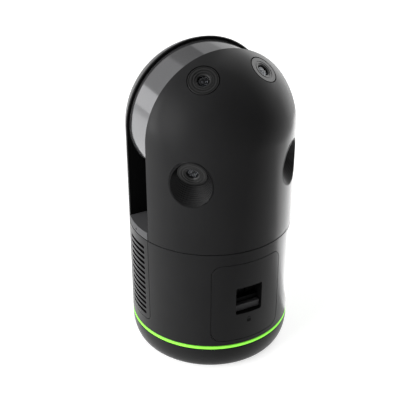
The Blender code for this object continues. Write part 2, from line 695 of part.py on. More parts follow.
def lens_place(azimuth, elevation, centre):
    """Placement whose +Z is the way a lens looks, with its face centre at a point."""
    look = Vector((math.cos(elevation) * math.cos(azimuth),
                   math.cos(elevation) * math.sin(azimuth), math.sin(elevation)))
    across = Vector((-math.sin(azimuth), math.cos(azimuth), 0.0))
    turn = Matrix((across, look.cross(across), look)).transposed().to_4x4()
    return Matrix.Translation(centre) @ turn


def build_camera(prefix, suffix, place):
    """Flat bezel, domed lens and camera module on one optical axis."""
    bore = LENS_R + GAP
    dish = BEZEL_THICK / 2
    bezel = [(bore, -BEZEL_THICK), (BEZEL_R, -BEZEL_THICK), (BEZEL_R, 0.0), (BARREL_R, 0.0)]
    bezel += [(bore, -dish)]
    turned(f"{prefix}_bezel_{suffix}", bezel, GREY, 20, place)
    rim = -dish - BEZEL_THICK / 8
    lens = [(0.0, -BEZEL_THICK), (LENS_R, -BEZEL_THICK), (LENS_R, rim)]
    lens += [(LENS_R * 0.6, rim + BEZEL_THICK / 5), (0.0, rim + BEZEL_THICK / 4)]
    turned(f"{prefix}_lens_{suffix}", lens, GLASS, 16, place)
    top = -BEZEL_THICK - GAP
    base = top - BARREL_LENGTH
    module = [(0.0, base - SENSOR_THICK), (SENSOR_R, base - SENSOR_THICK), (SENSOR_R, base)]
    module += [(BARREL_R, base), (BARREL_R, top), (0.0, top)]
    turned(f"{prefix}_camera_{suffix}", module, BLACK, 16, place)


def build_dome_camera(hood, suffix, side):
    """Upper camera, flush with the dome."""
    centre_r = math.sqrt(BODY_R ** 2 - LENS_HOLE_R ** 2)
    place = lens_place(side * DOME_LENS_AZ, DOME_LENS_EL, (0.0, 0.0, DOME_Z))
    place = place @ Matrix.Translation((0.0, 0.0, centre_r))
    hole = disc_profile(LENS_HOLE_R, -2 * WALL, WALL)
    boolean(hood, turned(f"dome_hole_{suffix}", hole, None, 20, place))
    build_camera("dome", suffix, place)


def cup_ring(side, share, grow=0.0, back=0.0, ribbed=False):
    """Loop of the cup: the tilted lens rim at share 0 and the upright mouth at share 1."""
    azimuth = side * SIDE_LENS_AZ
    out = Vector((math.cos(azimuth), math.sin(azimuth), 0.0))
    across = Vector((-math.sin(azimuth), math.cos(azimuth), 0.0))
    rise = Vector((0.0, 0.0, 1.0))
    tilted = out * math.sin(SIDE_LENS_TILT) + rise * math.cos(SIDE_LENS_TILT)
    look = out * math.cos(SIDE_LENS_TILT) - rise * math.sin(SIDE_LENS_TILT)
    lens_middle = out * (BODY_R - SIDE_LENS_DEPTH) + rise * SIDE_LENS_Z - look * back
    mouth_middle = out * BODY_R + rise * CUP_MOUTH_Z
    points = []
    for index in range(CUP_SIDES):
        turn = math.tau * index / CUP_SIDES
        cos, sin = math.cos(turn), math.sin(turn)
        wider = grow
        if ribbed:
            wider += CUP_RIB_DEPTH * max(0.0, 0.3 - sin) / 1.3
        inner = lens_middle + (across * cos + tilted * sin) * (LENS_HOLE_R + wider)
        outer = mouth_middle + (across * cos + rise * sin) * (CUP_MOUTH_R + wider)
        points.append(inner.lerp(outer, share))
    return points


def build_side_camera(hood, suffix, side):
    """Lower camera at the bottom of a ribbed cup that opens outwards and down."""
    azimuth = side * SIDE_LENS_AZ
    out = Vector((math.cos(azimuth), math.sin(azimuth), 0.0))
    centre = out * (BODY_R - SIDE_LENS_DEPTH) + Vector((0.0, 0.0, SIDE_LENS_Z))
    place = lens_place(azimuth, -SIDE_LENS_TILT, centre)
    beyond = 1.4
    wall = [cup_ring(side, 0.0, CUP_WALL, CUP_BACK), cup_ring(side, 0.0, CUP_WALL)]
    wall += [cup_ring(side, 1.0, CUP_EDGE), cup_ring(side, beyond, CUP_EDGE)]
    cup = loft(f"lens_cup_{suffix}", wall, BLACK)

    room = [cup_ring(side, 0.0, CUP_WALL + GAP, CUP_BACK + 3 * WALL), cup_ring(side, 0.0, CUP_WALL + GAP)]
    room += [cup_ring(side, 1.0, CUP_EDGE + GAP), cup_ring(side, beyond, CUP_EDGE + GAP)]
    boolean(hood, loft(f"cup_hole_{suffix}", room))

    inside = [cup_ring(side, 0.0, 0.0, CUP_BACK + WALL), cup_ring(side, 0.0)]
    for index in range(CUP_RIBS):
        inside.append(cup_ring(side, (index + 0.4) / CUP_RIBS, ribbed=True))
        inside.append(cup_ring(side, (index + 1) / CUP_RIBS))
    inside.append(cup_ring(side, beyond))
    boolean(cup, loft(f"cup_inside_{suffix}", inside))
    boolean(cup, capsule(f"cup_limit_{suffix}", BODY_R, 0.0), "INTERSECT")
    build_camera("side", suffix, place)


# ------------------------------------------------------------------------------ mirror rotor

def mirror_place():
    """Placement on the mirror: +Z points from its face into its back."""
    turn = Matrix.Rotation(math.radians(-45), 4, "Y")
    return Matrix.Translation((0.0, 0.0, DOME_Z)) @ turn


def mirror_slab(name, low, high, look=None):
    """Slab parallel to the mirror's face, between two depths behind it."""
    slab = block(name, (-BODY_R, BODY_R), (-BODY_R, BODY_R), (low, high), look)
    slab.data.transform(mirror_place())
    return slab


def build_drum():
    """Drum whose underside is rounded front to back, with the beam's elbow cut in it."""
    drum = turned("rotor_drum", disc_profile(DRUM_R, -CHEEK_BACK, CHEEK_BACK), DRUM, SEGMENTS, spindle())
    front = arc_points(DRUM_HALF, 180, 360, 12, 0.0, DOME_Z)
    front += [(DRUM_HALF, DOME_Z + BODY_R), (-DRUM_HALF, DOME_Z + BODY_R)]
    boolean(drum, prism("drum_front", front, "Y", -BODY_R, BODY_R), "INTERSECT")

    cells = bmesh.new()
    outer, inner = DRUM_R - DRUM_SKIN, DRUM_CELL_IN_R
    outer_trim, inner_trim = math.degrees(DRUM_RIB / 2 / outer), math.degrees(DRUM_RIB / 2 / inner)
    for index in range(DRUM_CELLS):
        start, end = 180 * index / DRUM_CELLS, 180 * (index + 1) / DRUM_CELLS
        cell = arc_points(outer, start + outer_trim, end - outer_trim, 2, 0.0, DOME_Z)
        cell += arc_points(inner, end - inner_trim, start + inner_trim, 1, 0.0, DOME_Z)
        add_prism(cells, cell, "X", -DRUM_HALF + DRUM_WEB, BODY_R)
    boolean(drum, finish("drum_cells", cells))

    elbow = turned("beam_down", disc_profile(BEAM_R, 0.0, DOME_Z + BEAM_R), None, 32)
    boolean(elbow, turned("beam_across", disc_profile(BEAM_R, -BEAM_R, BODY_R), None, 28, spindle()),
            "UNION")
    boolean(elbow, mirror_slab("behind_mirror", MIRROR_THICK + GAP, BODY_R))
    boolean(drum, elbow)
    socket = disc_profile(SHAFT_R + GAP, -BODY_R, SOCKET_X)
    boolean(drum, turned("shaft_socket", socket, None, 24, spindle()))


def build_mirror():
    """Mirror plate on the drum's 45 degree seat, trimmed to the beam's two directions."""
    radius = BEAM_R - GAP
    mirror = mirror_slab("scan_mirror", 0.0, MIRROR_THICK, MIRROR)
    boolean(mirror, turned("mirror_trim_z", disc_profile(radius, 0.0, FAR), None, 32), "INTERSECT")
    across = disc_profile(radius, -BODY_R, BODY_R)
    boolean(mirror, turned("mirror_trim_x", across, None, 32, spindle()), "INTERSECT")


def axis_bracket(name, near, hole_r):
    """Upright plate on the deck with an eye round the spin axis."""
    outline = rectangle(-BRACKET_HALF, BRACKET_HALF, UPPER_Z, DOME_Z)[:2]
    outline += arc_points(BRACKET_EYE_R, -20, 200, 16, 0.0, DOME_Z)
    bracket = prism(name, outline, "X", near, near + BRACKET_THICK, ALUMINIUM)
    eye = disc_profile(hole_r, -BODY_R, BODY_R)
    boolean(bracket, turned(f"{name}_eye", eye, None, 32, spindle()))


def build_spindle():
    """Shaft, bearing, bracket, motor and encoder behind the rear cheek."""
    centre = spindle()
    face = -(CHEEK_BACK + GAP)
    back = face - BRACKET_THICK
    axis_bracket("motor_bracket", back, SHAFT_BEARING_R + GAP)
    turned("spindle_bearing", ring_profile(SHAFT_R + GAP, SHAFT_BEARING_R, back, face), STEEL, 24, centre)

    mouth = back - GAP
    end = mouth - MOTOR_LENGTH
    inner = MOTOR_R - MOTOR_WALL
    housing = [(0.0, end), (MOTOR_R, end), (MOTOR_R, mouth), (inner, mouth), (inner, end + MOTOR_WALL)]
    housing += [(0.0, end + MOTOR_WALL)]
    turned("motor_housing", housing, ALUMINIUM, 28, centre)

    disc_back = mouth - 2 * ENCODER_THICK
    disc = ring_profile(SHAFT_R + GAP, ENCODER_R, disc_back, disc_back + ENCODER_THICK)
    turned("encoder_disc", disc, GLASS, 24, centre)
    top = disc_back - GAP
    low = top - SPIN_STATOR_LENGTH
    turned("motor_magnet", ring_profile(SHAFT_R + GAP, SPIN_MAGNET_R, low, top), STEEL, 24, centre)
    stator = ring_profile(SPIN_MAGNET_R + RUN_GAP, inner - GAP, low, top)
    turned("motor_stator", stator, COPPER, 24, centre)
    shaft = disc_profile(SHAFT_R, end + MOTOR_WALL + GAP, SOCKET_X - GAP)
    turned("rotor_shaft", shaft, STEEL, 16, centre)


def build_laser():
    """Window in the camera cheek and the ranging unit, bracket and board behind it."""
    centre = spindle()
    turned("laser_window", disc_profile(BEAM_R, SLOT_HALF + GAP, CHEEK_BACK), GLASS, 28, centre)
    front = CHEEK_BACK + GAP
    back = front + LASER_LENGTH
    turned("laser_unit", disc_profile(LASER_R, front, back), BLACK, 28, centre)
    axis_bracket("laser_bracket", front + BRACKET_THICK, LASER_R + GAP)
    half = LASER_BOARD_HALF
    block("laser_board", (back + GAP, back + GAP + BOARD_THICK), (-half, half),
          (DOME_Z - half, DOME_Z + half), BOARD)


# ----------------------------------------------------------------------------------- assembly

def gather(name, point, prefixes):
    """Empty on a joint's axis that carries every free piece whose name starts as given."""
    axis = bpy.data.objects.new(name, None)
    axis.empty_display_size = BODY_R / 4
    axis.location = point
    bpy.context.scene.collection.objects.link(axis)
    for piece in bpy.data.objects:
        free = piece.type == "MESH" and not piece.hide_render and piece.parent is None
        if free and piece.name.startswith(prefixes):
            piece.parent = axis
            piece.matrix_parent_inverse = Matrix.Translation(point).inverted()
    return axis


def carry(parent, children):
    """Hang joint axes from the axis that carries them, in place."""
    for child in children:
        child.parent = parent
        child.matrix_parent_inverse = Matrix.Translation(parent.location).inverted()


build_foot()
build_pan_drive()
build_body_shell()
build_vent("vent_front", -1)
build_vent("vent_rear", 1)
build_chassis()
build_heat_sink("heat_sink_front", -1)
build_heat_sink("heat_sink_rear", 1)
build_button()
build_panel()
build_pack()
build_bay()
build_latch()
build_slot_floor()
camera_hood = build_hood("camera_hood", 1)
build_hood("rear_hood", -1)
build_cheek("camera_cheek", 1, BEAM_R + GAP)
build_cheek("rear_cheek", -1, SHAFT_R + RUN_GAP)
for suffix, side in (("left", -1), ("right", 1)):
    build_dome_camera(camera_hood, suffix, side)
    build_side_camera(camera_hood, suffix, side)
build_drum()
build_mirror()
build_spindle()
build_laser()

FOOT = ("foot_", "mount_", "pan_bearing", "pan_magnet")
ROTOR = ("rotor_", "scan_mirror", "motor_magnet", "encoder_disc")
BATTERY_Z = PACK_BOTTOM_Z + PACK_HEIGHT / 2
foot_axis = gather("foot_axis", (0.0, 0.0, 0.0), FOOT)
mirror_axis = gather("mirror_axis", (0.0, 0.0, DOME_Z), ROTOR)
battery_axis = gather("battery_axis", (BODY_R, 0.0, BATTERY_Z), ("battery_pa",))
latch_axis = gather("latch_axis", (POCKET_X, 0.0, SLIDER_LOW_Z), ("latch_",))
button_axis = gather("button_axis", (-BODY_R, 0.0, BUTTON_Z), ("power_",))
head_axis = gather("head_axis", (0.0, 0.0, HEAD_Z), ("",))
carry(foot_axis, (head_axis,))
carry(head_axis, (mirror_axis, battery_axis, button_axis))
carry(battery_axis, (latch_axis,))
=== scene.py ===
# %% [markdown]
# # Dressing a panoramic laser scanner
#
# The object is a hand-sized capsule on a rounded foot. A slot splits its upper half, and a glossy
# drum that carries a mirror turns in the slot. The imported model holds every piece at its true
# size and place. This lesson keeps those sizes and gives each piece a finer shape and a finish.
# Everything is in metres, +Z is up, and the scan slot opens towards -Y and +Y.

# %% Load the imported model
import math

import bmesh
import bpy
from mathutils import Matrix, Vector


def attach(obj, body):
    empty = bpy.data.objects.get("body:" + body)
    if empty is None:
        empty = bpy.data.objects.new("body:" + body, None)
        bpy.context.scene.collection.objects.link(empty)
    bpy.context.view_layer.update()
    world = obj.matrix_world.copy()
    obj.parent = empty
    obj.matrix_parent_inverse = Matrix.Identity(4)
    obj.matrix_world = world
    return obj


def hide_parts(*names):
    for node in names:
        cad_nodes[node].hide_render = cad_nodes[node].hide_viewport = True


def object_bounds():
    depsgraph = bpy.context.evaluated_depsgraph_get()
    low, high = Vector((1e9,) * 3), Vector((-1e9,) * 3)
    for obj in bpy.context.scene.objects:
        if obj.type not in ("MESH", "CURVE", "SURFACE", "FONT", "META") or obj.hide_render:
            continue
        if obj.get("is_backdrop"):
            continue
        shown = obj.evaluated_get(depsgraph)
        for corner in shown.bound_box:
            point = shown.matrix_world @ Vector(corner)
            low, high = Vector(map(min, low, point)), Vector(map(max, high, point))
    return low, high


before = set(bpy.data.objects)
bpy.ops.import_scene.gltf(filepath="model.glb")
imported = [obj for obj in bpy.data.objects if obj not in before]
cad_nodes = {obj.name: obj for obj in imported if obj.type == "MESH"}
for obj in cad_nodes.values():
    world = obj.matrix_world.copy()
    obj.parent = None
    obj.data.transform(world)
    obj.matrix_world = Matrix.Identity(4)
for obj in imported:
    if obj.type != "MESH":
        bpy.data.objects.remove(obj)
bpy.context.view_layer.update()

# %% [markdown]
# ## The sizes
#
# A finer piece must sit exactly where the plain one sits, so the main sizes of the scanner are
# written once here, in metres. A capsule is easy to describe: a tube of one radius, and a
# dome of the same radius whose centre is also the height of the mirror's axis.

# %% Sizes of the scanner
MM = 0.001
BODY_R, INNER_R = 40 * MM, 38 * MM
DOME_Z = 115 * MM                  # centre of the dome, height of the spin axis
SEAM_LOW, SEAM_HIGH = 66.15 * MM, 66.45 * MM
SLOT_HALF, DRUM_HALF = 10.3 * MM, 10.0 * MM
DRUM_R = 37.0 * MM
DRUM_BLANK = 0.3 * BODY_R          # half length of the drum's blank, wider than the slot
CUP_MOUTH_R = 10.6 * MM
FAR = 0.2                          # reach of cutters that run past the body
AROUND = 160                       # facets round the body
print("body", 2 * BODY_R / MM, "mm wide, spin axis at", DOME_Z / MM, "mm")

# %% [markdown]
# ## The camera
#
# The photograph looks down at the scanner from the battery side, a little towards the slot. A
# camera in Blender looks along its own -Z, so `to_track_quat` turns that axis at the aim point.
# A long lens keeps the tall body from narrowing towards its foot, as in a product photograph.

# %% Place the camera
camera = bpy.data.objects.new("camera", bpy.data.cameras.new("camera"))
bpy.context.scene.collection.objects.link(camera)
bpy.context.scene.camera = camera
camera.location = (0.31171, -0.16854, 0.26115)
aim = Vector((-0.00119, -0.00505, 0.07448))
camera.rotation_euler = (aim - camera.location).to_track_quat("-Z", "Y").to_euler()
camera.data.lens = 73.12
camera.data.sensor_width = 36.0
camera.data.clip_start = 0.01
print("camera is", round((aim - camera.location).length, 3), "m from the scanner")

# %% [markdown]
# ## Helpers that make shapes
#
# Nearly every piece of this scanner is turned on a lathe or cut from a plate. So there are two
# makers: one spins a half outline about an axis, the other pushes an outline through space. Both
# use bmesh, which builds a mesh in memory without touching the view, and both end by pointing
# all faces outwards, which a spin can turn round.

# %% Shape makers
def make_piece(name, bm, look=None):
    """Turn a bmesh into an object whose faces point outwards."""
    bmesh.ops.remove_doubles(bm, verts=bm.verts, dist=1e-6)
    bmesh.ops.recalc_face_normals(bm, faces=bm.faces)
    mesh = bpy.data.meshes.new(name)
    bm.to_mesh(mesh)
    bm.free()
    made = bpy.data.objects.new(name, mesh)
    bpy.context.scene.collection.objects.link(made)
    if look is not None:
        mesh.materials.append(look)
    return made


def turned(name, profile, look=None, steps=AROUND, place=Matrix()):
    """Spin a half outline of (radius, height) points about Z, then place it."""
    bm = bmesh.new()
    points = [bm.verts.new((radius, 0.0, height)) for radius, height in profile]
    edges = [bm.edges.new(pair) for pair in zip(points, points[1:])]
    if profile[0][0] > 0.0:
        edges.append(bm.edges.new((points[-1], points[0])))
    bmesh.ops.spin(bm, geom=points + edges, cent=(0, 0, 0), axis=(0, 0, 1), angle=math.tau,
                   steps=steps, use_merge=True)
    bmesh.ops.transform(bm, matrix=place, verts=bm.verts)
    return make_piece(name, bm, look)


def plate(name, outline, axis, low, high, look=None):
    """Push an outline along an axis; its points run in the other two axes, in order."""
    first, second = {"X": (1, 2), "Y": (0, 2), "Z": (0, 1)}[axis]
    depth = "XYZ".index(axis)
    bm = bmesh.new()
    corners = []
    for a, b in outline:
        point = Vector((0.0, 0.0, 0.0))
        point[first], point[second], point[depth] = a, b, low
        corners.append(bm.verts.new(point))
    bm.faces.new(corners)
    grown = bmesh.ops.extrude_face_region(bm, geom=bm.faces[:])["geom"]
    shift = Vector((0.0, 0.0, 0.0))
    shift[depth] = high - low
    moved = [part for part in grown if isinstance(part, bmesh.types.BMVert)]
    bmesh.ops.translate(bm, vec=shift, verts=moved)
    return make_piece(name, bm, look)


# %% Outlines
def mm(*points):
    """Outline points given in millimetres."""
    return [(a * MM, b * MM) for a, b in points]


def arc(radius, start, end, steps, x=0.0, y=0.0):
    """Points along an arc, angles in degrees, both ends included."""
    turns = [math.radians(start + (end - start) * step / steps) for step in range(steps + 1)]
    return [(x + radius * math.cos(turn), y + radius * math.sin(turn)) for turn in turns]


def rounded(left, right, bottom, top, radii, steps=12):
    """Rectangle with a radius at its lower left, lower right, upper right and upper left."""
    corners = [(left, bottom, 1, 1, 180), (right, bottom, -1, 1, 270),
               (right, top, -1, -1, 0), (left, top, 1, -1, 90)]
    outline = []
    for (x, y, inx, iny, start), radius in zip(corners, radii):
        if radius > 0.0:
            outline += arc(radius, start, start + 90, steps, x + inx * radius, y + iny * radius)
        else:
            outline.append((x, y))
    return outline


def box_outline(left, right, bottom, top):
    """Plain rectangle."""
    return [(left, bottom), (right, bottom), (right, top), (left, top)]


def capsule_outline(radius, low, rings=36):
    """Half outline of a domed tube, from its rim to its pole."""
    outline = [(radius, low)] + arc(radius, 0, 90, rings, 0.0, DOME_Z)
    outline[-1] = (0.0, DOME_Z + radius)
    return outline


SPINDLE = Matrix.Translation((0.0, 0.0, DOME_Z)) @ Matrix.Rotation(math.radians(90), 4, "Y")
print("a capsule's half outline has", len(capsule_outline(BODY_R, SEAM_HIGH)), "points")

# %% [markdown]
# ## Cutting and softening
#
# A window in a curved shell is hard to model face by face. A Boolean modifier cuts it exactly,
# and its result is then made a plain mesh so that the next cut starts clean. The cut faces of a
# real pocket or gap lie in shadow, so a cut can give the faces that it makes a black finish, which
# is painted shade. Real edges are never razor sharp: a bevel of a tenth of
# a millimetre catches a thin line of light, which tells the eye how big the object is. Large
# faces next to such a bevel would shade as if they were bent, so the last step weights every
# normal by the size of its face.

# %% Cutters
def settle(piece):
    """Make the result of a piece's modifiers its plain mesh."""
    graph = bpy.context.evaluated_depsgraph_get()
    mesh = bpy.data.meshes.new_from_object(piece.evaluated_get(graph))
    old = piece.data
    piece.modifiers.clear()
    piece.data = mesh
    bpy.data.meshes.remove(old)
    return piece


def carve(piece, tool, how="DIFFERENCE", painted_shade=None):
    """Cut a tool out of a piece, or keep or add it; a finish given last is painted on the cut faces as shade.
    """
    change = piece.modifiers.new("carve", "BOOLEAN")
    change.operation = how
    change.solver = "EXACT"
    change.object = tool
    if painted_shade is not None:
        tool.data.materials.clear()
        tool.data.materials.append(painted_shade)
        change.material_mode = "TRANSFER"
    settle(piece)
    bpy.data.objects.remove(tool, do_unlink=True)
    return piece


def soften(piece, width, steps=2, angle=40):
    """Round a piece's sharp edges."""
    bevel = piece.modifiers.new("soften", "BEVEL")
    bevel.width = width
    bevel.segments = steps
    bevel.limit_method = "ANGLE"
    bevel.angle_limit = math.radians(angle)
    bevel.miter_outer = "MITER_ARC"
    return settle(piece)


def shade(piece, angle=32):
    """Smooth shading that stays crisp at real corners and flat on large faces."""
    piece.data.shade_smooth()
    piece.data.set_sharp_from_angle(angle=math.radians(angle))
    even = piece.modifiers.new("even", "WEIGHTED_NORMAL")
    even.keep_sharp = True
    return settle(piece)


def one_finish(piece, look):
    """Give every face of a piece the same finish."""
    piece.data.materials.clear()
    piece.data.materials.append(look)
    piece.data.polygons.foreach_set("material_index", [0] * len(piece.data.polygons))
    return piece


def capsule_solid(radius):
    """Solid in the shape of the body, used to trim pieces to its outside."""
    return turned("capsule", [(0.0, 0.0)] + capsule_outline(radius, 0.0))


def side_slab(side, distance, thick=FAR):
    """Slab that starts at a distance to one side of the middle."""
    low, high = sorted((side * distance, side * (distance + thick)))
    return plate("slab", box_outline(-FAR, FAR, -FAR, FAR), "X", low, high)


print("cutters ready")

# %% [markdown]
# ## Handing a piece over
#
# Each finished piece does two things: it rides on a moving body, and it stands for the plain
# node whose place it takes. One call does both.

# %% Hand over
def hand_over(piece, body, slot, *stands_for):
    """Tie a piece to its body and hide the plain nodes that it replaces; the record slot is not used."""
    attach(piece, body)
    if stands_for:
        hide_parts(*stands_for)
    print(piece.name, "has", len(piece.data.polygons), "faces and rides on", body)
    return piece


# %% [markdown]
# ## Building materials from nodes
#
# Every finish here shares a few effects, such as the fine grain of a moulded or painted surface.
# A node group holds such an effect once, with named inputs, and each material places it with
# its own numbers. The shader itself stays in the material. The helper below adds a node, sets it
# and wires its inputs in one line, which keeps long trees readable.

# %% Node helpers
def add(tree, kind, inputs=None, **settings):
    """Add a node, set it, and fill or wire its inputs."""
    made = tree.nodes.new(kind)
    for key, value in settings.items():
        setattr(made, key, value)
    for key, value in (inputs or {}).items():
        if isinstance(value, bpy.types.NodeSocket):
            tree.links.new(value, made.inputs[key])
        else:
            made.inputs[key].default_value = value
    return made


def calc(tree, operation, *values):
    """Result of a Math node."""
    return add(tree, "ShaderNodeMath", dict(enumerate(values)), operation=operation).outputs[0]


def vmath(tree, operation, first, second=None, scale=None):
    """Result of a Vector Math node."""
    inputs = {0: first}
    if second is not None:
        inputs[1] = second
    if scale is not None:
        inputs["Scale"] = scale
    return add(tree, "ShaderNodeVectorMath", inputs, operation=operation).outputs[0]


def new_group(name, inputs, outputs, kind="ShaderNodeTree"):
    """Node group with named sockets; gives the tree, its inputs and its outputs."""
    tree = bpy.data.node_groups.new(name, kind)
    for label, socket_type, start in inputs:
        socket = tree.interface.new_socket(label, in_out="INPUT", socket_type=socket_type)
        if start is not None:
            socket.default_value = start
    for label, socket_type in outputs:
        tree.interface.new_socket(label, in_out="OUTPUT", socket_type=socket_type)
    return tree, tree.nodes.new("NodeGroupInput").outputs, tree.nodes.new("NodeGroupOutput").inputs


# %% [markdown]
# The first effect is fine grain. A small noise gives the surface its height, and a large soft
# noise shifts colour and roughness a little from place to place, as handling and uneven paint
# do. Object coordinates are in metres here, so a grain of 5000 per metre is a fifth of a
# millimetre.

# %% Fine grain
COLOUR, NUMBER, VECTOR = "NodeSocketColor", "NodeSocketFloat", "NodeSocketVector"
GREY = (0.5, 0.5, 0.5, 1.0)
grain_tree, given, result = new_group(
    "fine_grain",
    [("Colour", COLOUR, GREY), ("Roughness", NUMBER, 0.5), ("Grain", NUMBER, 5000.0),
     ("Mottle", NUMBER, 0.06), ("Smudge", NUMBER, 0.1)],
    [("Colour", COLOUR), ("Roughness", NUMBER), ("Height", NUMBER)])
GRAIN_TO_CLOUD = 110.0             # how much wider the soft noise is than the fine one
place = add(grain_tree, "ShaderNodeTexCoord").outputs["Object"]
fine = add(grain_tree, "ShaderNodeTexNoise", {"Vector": place, "Scale": given["Grain"], "Detail": 2.0})
wide_scale = calc(grain_tree, "DIVIDE", given["Grain"], GRAIN_TO_CLOUD)
cloud = add(grain_tree, "ShaderNodeTexNoise", {"Vector": place, "Scale": wide_scale, "Detail": 4.0})
low = calc(grain_tree, "SUBTRACT", 1.0, given["Mottle"])
high = calc(grain_tree, "ADD", 1.0, given["Mottle"])
tint = add(grain_tree, "ShaderNodeMapRange", {
    "Value": cloud.outputs["Fac"], "From Min": 0.3, "From Max": 0.7, "To Min": low, "To Max": high})
tinted = vmath(grain_tree, "SCALE", given["Colour"], scale=tint.outputs[0])
grain_tree.links.new(tinted, result["Colour"])
spread = calc(grain_tree, "SUBTRACT", cloud.outputs["Fac"], 0.5)
worn = calc(grain_tree, "MULTIPLY_ADD", spread, given["Smudge"], given["Roughness"])
grain_tree.links.new(worn, result["Roughness"])
grain_tree.links.new(fine.outputs["Fac"], result["Height"])
print("fine_grain has", len(grain_tree.nodes), "nodes")

# %% [markdown]
# The second effect is a set of turned rings, as a lathe leaves on a lens mount. The vector that
# comes in is centred on the ring's axis, so the distance from that axis is all that is
# needed, and a ping-pong of it is a row of fine ridges.

# %% Turned rings
ring_tree, given, result = new_group(
    "turned_rings", [("Vector", VECTOR, (0.0, 0.0, 0.0)), ("Rings", NUMBER, 3000.0)],
    [("Height", NUMBER), ("Radius", NUMBER)])
flat = vmath(ring_tree, "MULTIPLY", given["Vector"], (1.0, 1.0, 0.0))
reach = add(ring_tree, "ShaderNodeVectorMath", {0: flat}, operation="LENGTH").outputs["Value"]
waves = calc(ring_tree, "PINGPONG", calc(ring_tree, "MULTIPLY", reach, given["Rings"]), 1.0)
ring_tree.links.new(waves, result["Height"])
ring_tree.links.new(reach, result["Radius"])

# %% [markdown]
# The third effect is brushing: noise that is stretched along one direction. The group scales
# the coordinates before the noise, and the same lines drive colour, roughness and height.

# %% Brushed lines
brush_tree, given, result = new_group(
    "brushed_lines",
    [("Colour", COLOUR, GREY), ("Roughness", NUMBER, 0.3), ("Stretch", VECTOR, (4000.0, 200.0, 4000.0)),
     ("Depth", NUMBER, 0.15)],
    [("Colour", COLOUR), ("Roughness", NUMBER), ("Height", NUMBER)])
place = add(brush_tree, "ShaderNodeTexCoord").outputs["Object"]
drawn = vmath(brush_tree, "MULTIPLY", place, given["Stretch"])
lines = add(brush_tree, "ShaderNodeTexNoise", {"Vector": drawn, "Scale": 1.0, "Detail": 3.0})
centred = calc(brush_tree, "SUBTRACT", lines.outputs["Fac"], 0.5)
tint = calc(brush_tree, "MULTIPLY_ADD", centred, given["Depth"], 1.0)
brush_tree.links.new(vmath(brush_tree, "SCALE", given["Colour"], scale=tint), result["Colour"])
brush_tree.links.new(calc(brush_tree, "MULTIPLY_ADD", centred, given["Depth"], given["Roughness"]),
                     result["Roughness"])
brush_tree.links.new(lines.outputs["Fac"], result["Height"])
print("shared effects:", [tree.name for tree in (grain_tree, ring_tree, brush_tree)])

# %% [markdown]
# Now the painted, moulded and machined finishes. Each takes one shared effect and adds a bump of
# a few hundredths of a millimetre. The charcoal paint of the shells is satin, and like any satin
# paint it turns glossy where it is seen at a flat angle: a Layer Weight node raises its coat
# towards the outline, which draws the soft bright edge of the photograph.

# %% Finishes that share the effects
GRAIN_DEPTH, BRUSH_DEPTH = 0.04 * MM, 0.03 * MM


def plain_shader(name, metallic=0.0, specular=0.5, coat=0.0, coat_rough=0.1):
    """Material with only its Principled shader; plain numbers sit on the shader itself."""
    look = bpy.data.materials.new(name)
    look.use_nodes = True
    shader = look.node_tree.nodes["Principled BSDF"]
    shader.inputs["Metallic"].default_value = metallic
    shader.inputs["Specular IOR Level"].default_value = specular
    shader.inputs["Coat Weight"].default_value = coat
    shader.inputs["Coat Roughness"].default_value = coat_rough
    return look, look.node_tree, shader.inputs


def roughen(tree, sockets, height, strength, depth):
    """Give the shader a bump that follows a height."""
    bumps = add(tree, "ShaderNodeBump", {"Strength": strength, "Distance": depth, "Height": height})
    tree.links.new(bumps.outputs["Normal"], sockets["Normal"])


def surfaced(tree, sockets, group, **inputs):
    """Place a shared effect and let it drive the shader's colour and roughness."""
    surface = add(tree, "ShaderNodeGroup", inputs, node_tree=group)
    tree.links.new(surface.outputs["Colour"], sockets["Base Color"])
    tree.links.new(surface.outputs["Roughness"], sockets["Roughness"])
    return surface.outputs["Height"]


def grained(name, colour, rough, grain=5000.0, mottle=0.06, smudge=0.1, bump=0.2, **shader_values):
    """Moulded or painted finish with the shared grain."""
    look, tree, sockets = plain_shader(name, **shader_values)
    height = surfaced(tree, sockets, grain_tree, Colour=(*colour, 1.0), Roughness=rough, Grain=grain,
                      Mottle=mottle, Smudge=smudge)
    roughen(tree, sockets, height, bump, GRAIN_DEPTH)
    return look


def brushed(name, colour, rough, stretch, depth=0.25, bump=0.1, metallic=1.0):
    """Machined metal with the shared brushing."""
    look, tree, sockets = plain_shader(name, metallic=metallic)
    height = surfaced(tree, sockets, brush_tree, Colour=(*colour, 1.0), Roughness=rough,
                      Stretch=stretch, Depth=depth)
    roughen(tree, sockets, height, bump, BRUSH_DEPTH)
    return look


EDGE_COAT = 0.8                    # weight of the coat right at the outline


def edge_gloss(look, near, far, rough):
    """Let a finish turn glossy where it is seen at a flat angle; near and far bound the change."""
    tree = look.node_tree
    sockets = tree.nodes["Principled BSDF"].inputs
    facing = add(tree, "ShaderNodeLayerWeight", {"Blend": 0.5}).outputs["Facing"]
    gloss = add(tree, "ShaderNodeMapRange", {"Value": facing, "From Min": near, "From Max": far,
                                             "To Max": EDGE_COAT})
    tree.links.new(gloss.outputs[0], sockets["Coat Weight"])
    sockets["Coat Roughness"].default_value = rough
    return look


